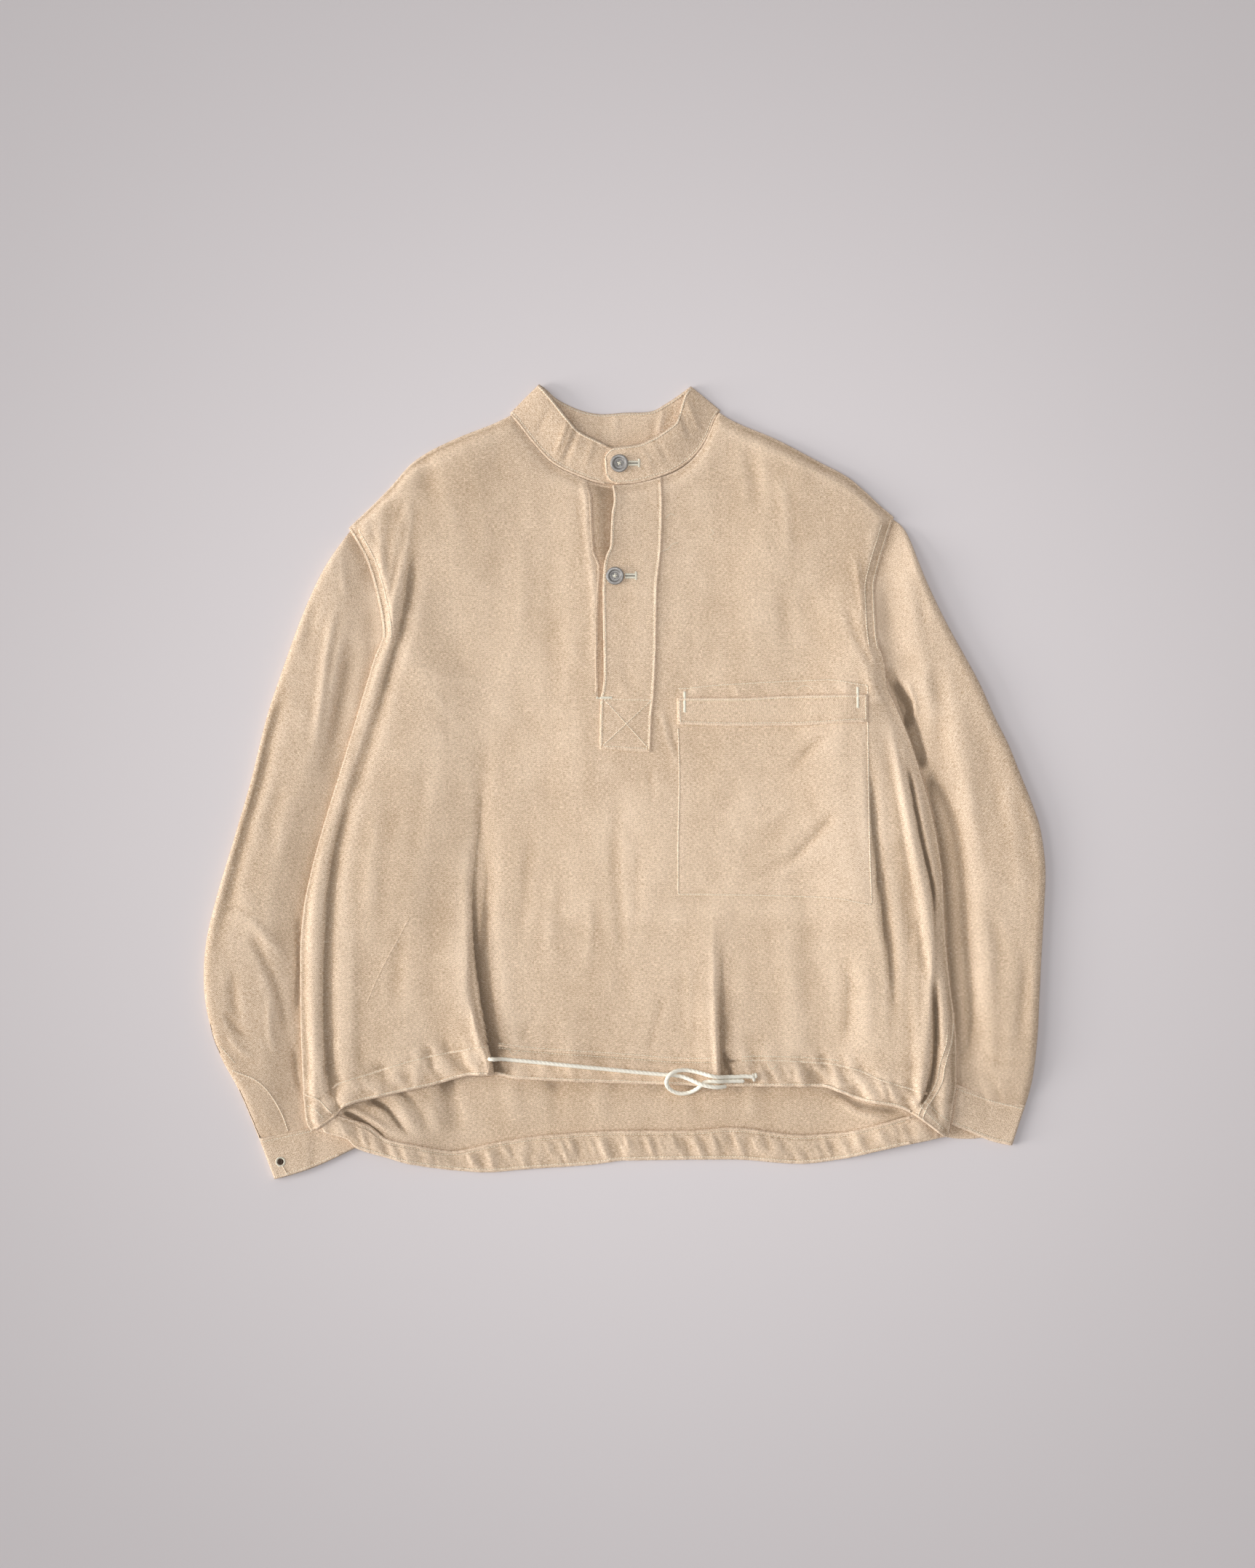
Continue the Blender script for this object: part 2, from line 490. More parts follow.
def front_top(x, y):
    """The front's upper side: the back's top, the gap, the folds and the front's wall, with the
    creases, the rumple and the gathers of its seams, and never lower than the back allows."""
    x, y = np.asarray(x, dtype=float), np.asarray(y, dtype=float)
    floor = back_top(x, y) + front_gap(x, y)
    shoulder = 2.4 * ease((np.abs(x + 9) - 100) / 45) * ease((y - 130) / 90)
    left_side = 2.6 * ease((x - 200) / 70) * ease((40 - y) / 60)
    neck = ease(np.hypot((x + 9) / 110, (y - 344) / 78) * 4 - 3)
    loft = 1.8 * mix(0.35, 1, neck) + shoulder + left_side + fold_heights(x, y)
    base = floor + CLOTH + loft * ease(inside_front(x, y) / 12)
    casing = (FRONT_CASING(x) - y) / np.maximum(FRONT_CASING(x) - FRONT_HEM(x), 5)
    in_casing = ease((casing + 0.1) / 0.1)
    pulled = mix(1.0, 0.35, ease((x + 128) / 10) * ease((120 - x) / 60))
    near_casing = np.exp(-((casing - 0.45) / 0.7) ** 2) * pulled
    gathers = near_casing * 3.4 * puckers(x, y - FRONT_CASING(x), 11)
    gathers = gathers + in_casing * (0.9 * np.sin(np.pi * np.clip(casing, 0, 1))
                                     + 0.5 * np.exp(-((casing - 0.97) / 0.07) ** 2))
    above_welt = np.exp(-((y - (WELT_TOP(x) + 7)) / 6) ** 2) * ease((x - 46) / 8) * ease(
        (230 - x) / 8)
    gathers = gathers + 1.1 * above_welt * puckers(x, y, 17, 10)
    armhole = (np.exp(-((x - RIGHT_EDGE(y) - 5) / 6) ** 2) * ease((y - 120) / 20)
               + np.exp(-((LEFT_EDGE(y) - x - 5) / 6) ** 2) * ease((y - 120) / 20))
    gathers = gathers + 0.55 * armhole * puckers(y, x, 23, 8)
    placket = np.exp(-((x - PLACKET_SEAM(y)) / 7) ** 2) * ease((y - 20) / 10)
    gathers = gathers + 0.3 * placket * puckers(y, x, 29, 9)
    seams = (line_dip(y - FRONT_CASING(x), 0.9, 2.6)
             + ease((y - 128) / 8) * (line_dip(x - RIGHT_EDGE(y) - 8)
                                      + line_dip(LEFT_EDGE(y) - 8 - x))
             + ease((LEFT_EDGE(y) - 10 - x) / -6) * ease((-225 - y) / 15)
             * (line_dip(SIDE_SEAM(y) - 3 - x) + line_dip(SIDE_SEAM(y) - 8 - x)))
    bag = pocket_outline(x, y)
    edge = ease(np.minimum(x - RIGHT_EDGE(y), LEFT_EDGE(y) - x) / 7)
    loose = depth() * edge * (crease_heights(x, y, FRONT_CREASES) + 0.75 * rumple(x, y, 5))
    top = base + loose + gathers + seams + bag
    room = 0.75 * ease((x - 40) / 8) * ease((240 - x) / 8) * ease((y + 118) / 8) * ease(
        (100 - y) / 8)
    return np.maximum(top, tail_top(x, y) + 1.3 + room)


SIDE_SEAM = guide("""
    -225,308.5 -240,307 -265,300 -277,298 -288,293 -296,288 -303,283 -314,279 -331,277""")


def pocket_outline(x, y):
    """The bag's stitched outline: a dip along each of its rows, and the bag a little proud."""
    inside = (ease((x - POCKET_RIGHT_END(y) + 2) / 4) * ease((POCKET_LEFT_END(y) + 2 - x) / 4)
              * ease((y - POCKET_BOTTOM(x) + 2) / 4) * ease((POCKET_TOP(x) + 2 - y) / 4))
    rows = (line_dip(y - POCKET_BOTTOM(x), 0.4) * ease((x - 46) / 4) * ease((234 - x) / 4)
            + line_dip(y - POCKET_TOP(x), 0.5) * ease((x - 46) / 4) * ease((230 - x) / 4)
            + line_dip(x - POCKET_LEFT_END(y), 0.4) * ease((y + 116) / 4) * ease((92 - y) / 4)
            + line_dip(x - POCKET_RIGHT_END(y), 0.3) * ease((y + 107) / 4) * ease((90 - y) / 4))
    return rows + 0.25 * inside


def lattice(columns, rows, turns=24):
    """Where every line down the cloth crosses every line across it. Each line is a share of the
    way from one guide to the next, and a crossing is found by going to and fro between them.
    Guides are (line, steps to the next). Also gives each guide's place in the lattice."""
    def shares(guides):
        steps = [count for _, count in guides[:-1]]
        owner = np.repeat(np.arange(len(steps)), steps)
        share = np.concatenate([np.arange(count) / count for count in steps])
        return (np.append(owner, len(steps) - 1), np.append(share, 1.0),
                np.append(0, np.cumsum(steps)))

    def blend(guides, owner, share, q, axis):
        values = np.stack([line(q) for line, _ in guides])
        owner = owner[:, None] if axis == 0 else owner[None, :]
        share = share[:, None] if axis == 0 else share[None, :]
        i, j = np.ogrid[:q.shape[0], :q.shape[1]]
        return mix(values[owner, i, j], values[owner + 1, i, j], share)

    column_owner, column_share, column_at = shares(columns)
    row_owner, row_share, row_at = shares(rows)
    x = np.zeros((len(column_owner), len(row_owner)))
    y = blend(rows, row_owner, row_share, x, 1)
    for _ in range(turns):
        x = blend(columns, column_owner, column_share, y, 0)
        y = mix(y, blend(rows, row_owner, row_share, x, 1), 0.7)
    return x, y, column_at, row_at


def grid_faces(shape, keep=None, closed=False):
    """The quads of a grid of points, as four index arrays, and the edges that have no neighbour,
    as two index arrays. closed joins the last column of points to the first."""
    n, m = shape
    cells = (n - 1, m if closed else m - 1)
    keep = np.ones(cells, dtype=bool) if keep is None else keep
    i, j = np.nonzero(keep)
    index = lambda a, b: a * m + b % m
    corners = [index(i, j), index(i, j + 1), index(i + 1, j + 1), index(i + 1, j)]
    ring = np.pad(keep, 1)
    if closed:
        ring[1:-1, 0], ring[1:-1, -1] = keep[:, -1], keep[:, 0]
    neighbours = (ring[i, j + 1], ring[i + 1, j + 2], ring[i + 2, j + 1], ring[i + 1, j])
    start, end = [], []
    for k, there in enumerate(neighbours):
        start.append(corners[k][~there])
        end.append(corners[(k + 1) % 4][~there])
    return np.stack(corners, axis=1), np.concatenate(start), np.concatenate(end)


def capped_tube(shape):
    """The triangles of a grid closed round, with its first and last row each joined to a tip.
    The two tips come after the grid's points."""
    n, m = shape
    quads, _, _ = grid_faces(shape, closed=True)
    first, last, tip = np.arange(m), (n - 1) * m + np.arange(m), np.full(m, n * m)
    return np.concatenate([quads[:, [0, 1, 2]], quads[:, [0, 2, 3]],
                           np.stack([np.roll(first, -1), first, tip], axis=1),
                           np.stack([last, np.roll(last, -1), tip + 1], axis=1)])


def relief(z, reach=4):
    """How far each point stands above the mean of the points within reach steps of it."""
    padded = np.pad(z, reach, mode="edge")
    width = 2 * reach + 1
    for axis in (0, 1):
        sums = np.cumsum(padded, axis=axis)
        sums = np.insert(sums, 0, 0, axis=axis)
        take = lambda a, b: np.take(sums, np.arange(a, b), axis=axis)
        size = sums.shape[axis]
        padded = (take(width, size) - take(0, size - width)) / width
    return z - padded


def mesh_object(name, points, faces, uv=None, wear=None, material=None, smooth=True):
    """A mesh object at the origin from points in millimetres and equal-sized faces. Faces are
    turned round where they would enclose a negative volume."""
    faces = np.asarray(faces)
    a, b, c = points[faces[:, 0]], points[faces[:, 1]], points[faces[:, 2]]
    volume = np.einsum("ij,ij->i", a, np.cross(b, c)).sum()
    if faces.shape[1] == 4:
        d = points[faces[:, 3]]
        volume += np.einsum("ij,ij->i", a, np.cross(c, d)).sum()
    if volume < 0:
        faces = faces[:, ::-1]
    used, inverse = np.unique(faces, return_inverse=True)
    points, faces = points[used], inverse.reshape(faces.shape)
    mesh = bpy.data.meshes.new(name)
    count, size = faces.shape
    mesh.vertices.add(len(points))
    mesh.vertices.foreach_set("co", (points * MM).astype(np.float32).ravel())
    mesh.loops.add(count * size)
    mesh.loops.foreach_set("vertex_index", faces.astype(np.int32).ravel())
    mesh.polygons.add(count)
    mesh.polygons.foreach_set("loop_start", np.arange(0, count * size, size, dtype=np.int32))
    mesh.polygons.foreach_set("use_smooth", np.full(count, smooth))
    if uv is not None:
        layer = mesh.uv_layers.new(name="cloth")
        layer.uv.foreach_set("vector", (uv[used][faces.ravel()] * MM).astype(np.float32).ravel())
    if wear is not None:
        attribute = mesh.attributes.new("wear", "FLOAT", "POINT")
        attribute.data.foreach_set("value", wear[used].astype(np.float32))
    mesh.update(calc_edges=True)
    mesh.validate()
    made = bpy.data.objects.new(name, mesh)
    bpy.context.scene.collection.objects.link(made)
    if material is not None:
        mesh.materials.append(material)
    return made


def wall_object(name, upper, lower, material, uv=None, keep=None, closed=False, wear=None,
                edge_wear=0.8):
    """A closed shell between two sheets of points on one grid. Its open edges are rounded by a
    row of points halfway between the sheets, moved out by a share of the wall."""
    n, m = upper.shape[:2]
    quads, start, end = grid_faces((n, m), keep, closed)
    top, low = upper.reshape(-1, 3), lower.reshape(-1, 3)
    count = n * m
    middle = (top + low) / 2
    along = middle[end] - middle[start]
    up = top - low
    out = np.zeros_like(middle)
    side = np.cross(along, (up[start] + up[end]) / 2)
    side /= np.maximum(np.linalg.norm(side, axis=1, keepdims=True), 1e-9)
    np.add.at(out, start, side)
    np.add.at(out, end, side)
    out /= np.maximum(np.linalg.norm(out, axis=1, keepdims=True), 1e-9)
    middle = middle + out * 0.4 * np.linalg.norm(up, axis=1, keepdims=True)
    rim_top = np.stack([start, 2 * count + start, 2 * count + end, end], axis=1)
    rim_low = np.stack([2 * count + start, count + start, count + end, 2 * count + end], axis=1)
    faces = np.concatenate([quads, quads[:, ::-1] + count, rim_top, rim_low])
    points = np.concatenate([top, low, middle])
    uv = None if uv is None else np.tile(uv.reshape(-1, 2), (3, 1))
    if wear is None:
        wear = np.clip(relief(upper[..., 2]) / 1.2, -0.6, 0.6)
    wear = np.array(wear, dtype=float).ravel()
    wear[start] = wear[end] = edge_wear
    wear = np.concatenate([wear, wear * 0, wear * 0 + edge_wear])
    return mesh_object(name, points, faces, uv, wear, material)


def own(piece, *nodes, slot="linen"):
    """The piece rides on the smock's one body, stands for its nodes, and takes its slot."""
    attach(piece, BODY)
    if nodes:
        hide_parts(*nodes)
    return piece


class Nodes:
    """Short ways to add and link shader nodes."""

    def __init__(self, name):
        self.material = bpy.data.materials.new(name)
        self.material.use_nodes = True
        self.tree = self.material.node_tree
        self.shader = self.tree.nodes["Principled BSDF"]

    def put(self, value, socket):
        if isinstance(value, bpy.types.NodeSocket):
            self.tree.links.new(value, socket)
        elif value is not None:
            socket.default_value = value

    def add(self, kind, *inputs, out=0, **settings):
        node = self.tree.nodes.new(kind)
        for key, value in settings.items():
            setattr(node, key, value)
        for k, value in enumerate(inputs):
            self.put(value, node.inputs[k])
        return node.outputs[out]

    def math(self, operation, *inputs):
        return self.add("ShaderNodeMath", *inputs, operation=operation)

    def blend(self, share, a, b, kind="MIX"):
        node = self.tree.nodes.new("ShaderNodeMix")
        node.data_type = "RGBA"
        node.blend_type = kind
        for socket, value in ((node.inputs[0], share), (node.inputs[6], a), (node.inputs[7], b)):
            self.put(value, socket)
        return node.outputs[2]

    def ramp(self, value, low, high, start=0.0, end=1.0):
        """Map value from the range low to high onto the range start to end."""
        return self.add("ShaderNodeMapRange", value, low, high, start, end)

    def noise(self, vector, scale, detail=2.0, roughness=0.5):
        node = self.tree.nodes.new("ShaderNodeTexNoise")
        self.put(vector, node.inputs["Vector"])
        node.inputs["Scale"].default_value = scale
        node.inputs["Detail"].default_value = detail
        node.inputs["Roughness"].default_value = roughness
        return node.outputs["Fac"]

    def bump(self, height, strength, distance):
        node = self.tree.nodes.new("ShaderNodeBump")
        for name, value in (("Height", height), ("Strength", strength), ("Distance", distance)):
            self.put(value, node.inputs[name])
        self.put(node.outputs[0], self.shader.inputs["Normal"])

    def finish(self, base, **inputs):
        """Give the shader its base colour and other inputs, and give back the material."""
        for name, value in {"Base_Color": base, **inputs}.items():
            self.put(value, self.shader.inputs[name.replace("_", " ")])
        return self.material


def colour(value, share=1.0):
    return (*(channel * share for channel in value[:3]), 1.0)


@functools.lru_cache(maxsize=None)
def linen_material():
    """Washed herringbone linen on the cloth's own map in metres: a zigzag of fine ribs, uneven
    yarns both ways, slow blotches of fading, and paler ridges from the wear attribute."""
    cloth = bpy.context.scene.smock_cloth
    n = Nodes("herringbone_linen")
    uv = n.add("ShaderNodeUVMap", uv_map="cloth")
    split = n.tree.nodes.new("ShaderNodeSeparateXYZ")
    n.put(uv, split.inputs[0])
    u, v = split.outputs[0], split.outputs[1]
    half = n.math("ABSOLUTE", n.math("SUBTRACT", n.math(
        "FRACT", n.math("MULTIPLY", u, 1 / cloth.rib_width)), 0.5))
    phase = n.math("MULTIPLY_ADD", half, cloth.rib_width / cloth.rib_rise,
                   n.math("MULTIPLY", v, 1 / cloth.rib_rise))
    rib = n.math("MULTIPLY_ADD", n.math("SINE", n.math("MULTIPLY", phase, math.tau)), 0.5, 0.5)
    turn = n.ramp(half, 0.42, 0.5)

    def stretched(across, along):
        return n.add("ShaderNodeCombineXYZ", n.math("MULTIPLY", u, across),
                     n.math("MULTIPLY", v, along), 0.0)

    def swing(fac, width):
        """A noise about nought, as a share of the given width."""
        return n.math("MULTIPLY", n.math("SUBTRACT", fac, 0.5), width)

    warp = n.noise(stretched(1350, 300), 1.0, 1.0, 0.6)
    weft = n.noise(stretched(330, 1250), 1.0, 1.0, 0.6)
    grain = n.noise(stretched(1500, 1350), 1.0, 1.0, 0.65)
    stripe = n.noise(stretched(190, 9), 1.0, 2.0, 0.6)
    bar = n.noise(stretched(11, 150), 1.0, 2.0, 0.6)
    mottle = n.noise(stretched(95, 70), 1.0, 3.0, 0.6)
    slub = n.math("ADD", n.ramp(n.noise(stretched(95, 620), 1.0, 0.0, 0.5), 0.72, 0.84),
                  n.ramp(n.noise(stretched(700, 80), 1.0, 0.0, 0.5), 0.75, 0.87))
    fleck = n.ramp(n.noise(stretched(420, 300), 1.0, 1.0, 0.5), 0.70, 0.80)
    patch = n.noise(stretched(7, 5), 1.0, 4.0, 0.6)
    cloud = n.noise(stretched(26, 15), 1.0, 3.0, 0.6)
    wear = n.add("ShaderNodeAttribute", attribute_name="wear", out=2)

    shade = n.math("ADD", 0.5, swing(warp, 1.2 * cloth.contrast))
    for fac, width in ((weft, 1.4), (grain, 1.5), (stripe, 0.12), (bar, 0.08), (mottle, 0.06),
                       (cloud, 0.36), (patch, 0.62), (rib, 0.38)):
        shade = n.math("ADD", shade, swing(fac, width * cloth.contrast))
    shade = n.math("MULTIPLY_ADD", turn, -0.04, shade)
    shade = n.math("MULTIPLY_ADD", wear, 0.24, shade)
    shade = n.math("MULTIPLY_ADD", slub, 0.3, shade)
    shade = n.math("MULTIPLY_ADD", fleck, 0.2, shade)
    tone = n.blend(shade, colour(cloth.colour_yarn), colour(cloth.colour_worn))
    inside = n.math("MULTIPLY_ADD", n.ramp(wear, -0.65, -1.65), -0.55, 1.0)
    tone = n.blend(1.0, tone, n.add("ShaderNodeCombineColor", inside, inside, inside),
                   "MULTIPLY")
    yarns = n.math("ADD", n.math("MULTIPLY", warp, 0.5), n.math("MULTIPLY", weft, 0.5))
    height = n.math("MULTIPLY_ADD", rib, 0.36, n.math(
        "MULTIPLY_ADD", yarns, 0.9, n.math("MULTIPLY_ADD", grain, 0.5, n.math(
            "MULTIPLY", slub, 0.4))))
    n.bump(height, 0.55, 0.0005)
    return n.finish(tone, Roughness=0.93, Specular_IOR_Level=0.18, Sheen_Weight=0.12,
                    Sheen_Roughness=0.6)


@functools.lru_cache(maxsize=None)
def thread_material(kind):
    """Cotton sewing thread with fine fuzz: pale for seams, cream for bars and buttonholes, and
    the dark of a buttonhole's slit."""
    n = Nodes(f"{kind}_thread")
    place = n.add("ShaderNodeTexCoord", out=3)
    fuzz = n.noise(place, 900.0, 2.0, 0.6)
    base = getattr(bpy.context.scene.smock_thread, f"{kind}_colour")
    tone = n.blend(n.ramp(fuzz, 0.35, 0.7), colour(base, 0.78), colour(base))
    return n.finish(tone, Roughness=0.8, Specular_IOR_Level=0.25)


@functools.lru_cache(maxsize=None)
def cord_material():
    """Soft cotton cord: off-white, with fibres along its plies."""
    n = Nodes("cotton_cord")
    place = n.add("ShaderNodeTexCoord", out=3)
    fibre = n.noise(place, 1400.0, 3.0, 0.65)
    shade = n.noise(place, 120.0, 2.0, 0.5)
    base = bpy.context.scene.smock_cord.colour
    tone = n.blend(n.ramp(fibre, 0.3, 0.7), colour(base, 0.86), colour(base))
    tone = n.blend(n.math("MULTIPLY", n.ramp(shade, 0.55, 0.75), 0.25), tone,
                   colour(base, 0.75))
    n.bump(fibre, 0.5, 0.0003)
    return n.finish(tone, Roughness=0.85, Sheen_Weight=0.15)


@functools.lru_cache(maxsize=None)
def button_material():
    """Grey horn-like button: slow streaks, worn paler on the rim, satin."""
    n = Nodes("grey_button")
    place = n.add("ShaderNodeTexCoord", out=3)
    streak = n.noise(place, 260.0, 3.0, 0.6)
    base = bpy.context.scene.smock_button.colour
    tone = n.blend(n.ramp(streak, 0.3, 0.7), colour(base, 0.5), colour(base))
    return n.finish(tone, Coat_Weight=0.6, Coat_Roughness=0.12,
                    Roughness=n.ramp(streak, 0.3, 0.7, 0.28, 0.42))


# Sewing. A stitch is a short spindle of four sides, closed at both ends.
SPINDLE = np.array([(-0.5, 0.35), (-0.22, 1.0), (0.22, 1.0), (0.5, 0.35)])


def spindles(starts, ends, radius, up=None):
    """Short threads from starts to ends: rings of four points, whose radius swells in the
    middle, round the line between the two. Gives points and faces."""
    count = len(starts)
    along = ends - starts
    length = np.maximum(np.linalg.norm(along, axis=1, keepdims=True), 1e-6)
    up = np.array([0.0, 0.0, 1.0]) if up is None else up
    side = np.cross(along / length, up)
    side /= np.maximum(np.linalg.norm(side, axis=1, keepdims=True), 1e-6)
    high = np.cross(side, along / length)
    middle = (starts + ends) / 2
    rings = []
    for share, swell in SPINDLE:
        centre = middle + along * share
        for angle in (0.0, 0.5, 1.0, 1.5):
            turn = angle * math.pi
            rings.append(centre + radius * swell * (math.cos(turn) * side
                                                    + math.sin(turn) * high))
    points = np.stack(rings, axis=1)
    quads = [(0, 3, 2, 1), (12, 13, 14, 15)]
    for ring in range(3):
        for k in range(4):
            a, b = ring * 4 + k, ring * 4 + (k + 1) % 4
            quads.append((a, b, b + 4, a + 4))
    faces = (np.array(quads)[None] + 16 * np.arange(count)[:, None, None]).reshape(-1, 4)
    return points.reshape(-1, 3), faces


def spaced(points, pitch):
    """Places at an even pitch along a line through points."""
    p = np.asarray(points, dtype=float)
    passed = np.append(0, np.hypot(*np.diff(p[:, :2], axis=0).T).cumsum())
    count = max(int(passed[-1] / pitch), 2)
    at = np.linspace(0, passed[-1], count + 1)
    return np.stack([np.interp(at, passed, p[:, k]) for k in range(p.shape[1])], axis=1)


def on_pieces(*names):
    """A place finder for plan points: a ray falls from above each and stops on the highest of
    the named pieces, and a lift is added. Where no piece lies there is no place."""
    bpy.context.view_layer.update()
    graph = bpy.context.evaluated_depsgraph_get()
    trees = [BVHTree.FromObject(bpy.data.objects[name], graph) for name in names]

    def place(flat, lift):
        falls = [[tree.ray_cast((x * MM, y * MM, 0.1), (0, 0, -1))[0] for tree in trees]
                 for x, y in flat]
        heights = np.array([[at.z / MM if at else np.nan for at in fall] for fall in falls])
        return np.column_stack([flat, np.fmax.reduce(heights, axis=1) + lift])
    return place


class Sewing:
    """Collects stitches laid on a piece, in one kind of thread, and makes them one mesh."""

    def __init__(self, name, *under, kind="seam"):
        self.name, self.place, self.kind = name, on_pieces(*under), kind
        self.parts, self.count = [], 0
        self.thread = bpy.context.scene.smock_thread
        self.radius = self.thread.diameter / MM / 2

    def lay(self, starts, ends, size=1.0):
        placed = ~np.isnan(starts[:, 2] + ends[:, 2])
        starts, ends = starts[placed], ends[placed]
        points, faces = spindles(starts, ends, self.radius * size)
        self.parts.append((points, faces + self.count))
        self.count += len(points)

    def row(self, points, pitch=None, smooth=True, size=1.0, seed=1, lift=0.12, gap=0.1):
        """A row of running stitches, each a little short of the next and a little uneven."""
        pitch = pitch or self.thread.pitch / MM
        line = smooth_line(points, 12) if smooth else np.array(points, dtype=float)
        at = spaced(line, pitch)
        rng = np.random.default_rng(seed)
        at = at + rng.normal(0, 0.1, at.shape)
        a, b = mix(at[:-1], at[1:], gap), mix(at[:-1], at[1:], 1 - gap)
        self.lay(self.place(a, lift), self.place(b, lift), size)

    def rows(self, *rows, **how):
        """Rows of running stitches, each given as its seed and its points."""
        for seed, points in rows:
            self.row(points, seed=seed, **how)

    def satin(self, start, end, width, pitch=0.45, size=0.9, lift=0.2):
        """A dense bar: threads side by side across the line from start to end."""
        start, end = np.array(start, dtype=float), np.array(end, dtype=float)
        length = np.hypot(*(end - start))
        count = max(int(length / pitch), 2)
        centre = mix(start, end, np.linspace(0, 1, count)[:, None])
        across = np.array([-(end - start)[1], (end - start)[0]]) / length
        lean = (end - start) / length * pitch * 0.5
        ragged = 1 + 0.12 * np.sin(np.arange(count) * 2.4)[:, None]
        a = centre - across * width / 2 * ragged - lean
        b = centre + across * width / 2 * ragged + lean
        high = self.place(centre, lift + self.radius * size)
        shift = np.array([*(across * width * 0.12), 0])
        self.lay(self.place(a, lift * 0.3), high + shift, size)
        self.lay(high - shift, self.place(b, lift * 0.3), size)

    def loose(self, points, size):
        """A loose thread end: one thin thread laid through points given with their lifts."""
        line = smooth_line(points, 6)
        at = self.place(line[:, :2], 0.0)
        at[:, 2] += line[:, 2]
        reach = (at[1:] - at[:-1]) * 0.12
        self.lay(at[:-1] - reach, at[1:] + reach, size)

    def make(self):
        points = np.concatenate([p for p, _ in self.parts])
        faces = np.concatenate([f for _, f in self.parts])
        return own(mesh_object(self.name, points, faces, material=thread_material(self.kind)),
                   slot="cord")


def along_x(line, x0, x1, offset=0.0, count=60):
    x = np.linspace(x0, x1, count)
    return np.stack([x, line(x) + offset], axis=1)


def along_y(line, y0, y1, offset=0.0, count=60):
    y = np.linspace(y0, y1, count)
    return np.stack([line(y) + offset, y], axis=1)


def seam_rolls(name, under, lines, turn=0.0, shift=0.0):
    """Turned edges and seam ridges: slim rolls of the same linen on the named pieces. A line is
    its points, the roll's width and height, and its paleness. Across a roll the height is a
    bell, made uneven along it by small hills, and both sides sink into the cloth."""
    place = on_pieces(*under)
    across = np.array([-1.0, -0.5, 0.0, 0.5, 1.0])
    bell = np.array([-0.25, 0.7, 1.0, 0.7, -0.25])
    tops, wears, keep = [], [], []
    for k, (points, width, height, pale) in enumerate(lines):
        line = spaced(smooth_line(points, 6), 1.4)
        way = np.gradient(line, axis=0)
        way /= np.hypot(*way.T)[:, None]
        side = np.column_stack([way[:, 1], -way[:, 0]])
        flat = line[:, None] + side[:, None] * (across * width / 2)[None, :, None]
        z = place(flat.reshape(-1, 2), 0.0)[:, 2].reshape(flat.shape[:2])
        there = ~np.isnan(z).all(axis=1)
        flat, z = flat[there], z[there]
        z = np.where(np.isnan(z), np.nanmin(z, axis=1, keepdims=True), z)
        uneven = 1 + 0.5 * hills(1.4 * np.arange(len(z)), 10.0 * k, 4.5, 5, 91)[:, None]
        tops.append(points_of(flat[..., 0], flat[..., 1], z + height * bell * uneven))
        wears.append(pale * bell * uneven - 0.25)
        keep.append(np.append(np.ones(len(z) - 1, dtype=bool), False))
    top, wear = np.concatenate(tops), np.concatenate(wears)
    low = top - [0, 0, 0.5]
    keep = np.repeat(np.concatenate(keep)[:-1, None], 4, axis=1)
    return own(wall_object(name, top, low, linen_material(),
                           cloth_map(top[..., 0], top[..., 1], turn, shift), keep, wear=wear,
                           edge_wear=-0.2))


# Lattices of the body's pieces.
BODY_COLUMNS = (
    (RIGHT_EDGE, 5), (lambda y: RIGHT_EDGE(y) + 7, 9), (lambda y: RIGHT_GROOVE(y) + 2, 40),
    (lambda y: RIGHT_FOLD(y) - 4, 9), (lambda y: RIGHT_FOLD(y) + 8, 30),
    (OPENING_EDGE, 4), (PLACKET_EDGE, 16), (PLACKET_SEAM, 8), (POCKET_RIGHT_END, 15),
    (lambda y: LEFT_FOLD(y) - 4, 7), (lambda y: LEFT_FOLD(y) + 6, 38), (POCKET_LEFT_END, 17),
    (lambda y: np.maximum(LEFT_GROOVE(y) - 2.5, POCKET_LEFT_END(y) + 1), 2),
    (lambda y: np.maximum(LEFT_GROOVE(y), POCKET_LEFT_END(y) + 2.5), 7),
    (lambda y: LEFT_EDGE(y) - 6, 5), (LEFT_EDGE, 0))
FRONT_ROWS = (
    (FRONT_TOP, 76), (POCKET_TOP, 5), (WELT_TOP, 8), (WELT_BOTTOM, 8), (PLACKET_BOTTOM, 42),
    (POCKET_BOTTOM, 46), (FRONT_CASING, 11), (FRONT_HEM, 0))


def points_of(x, y, z):
    return np.stack([x, y, z], axis=-1)


def cloth_map(x, y, turn=0.0, shift=0.0):
    """The cloth's own map in millimetres: the plan, turned by an angle and shifted."""
    c, s = math.cos(turn), math.sin(turn)
    return np.stack([c * x + s * y + shift, c * y - s * x + shift], axis=-1)


def linen_sheet(name, x, y, top, low, turn=0.0, shift=0.0, **how):
    """A linen shell between two heights over a lattice, on the cloth's own map."""
    return wall_object(name, points_of(x, y, top), points_of(x, y, low), linen_material(),
                       cloth_map(x, y, turn, shift), **how)


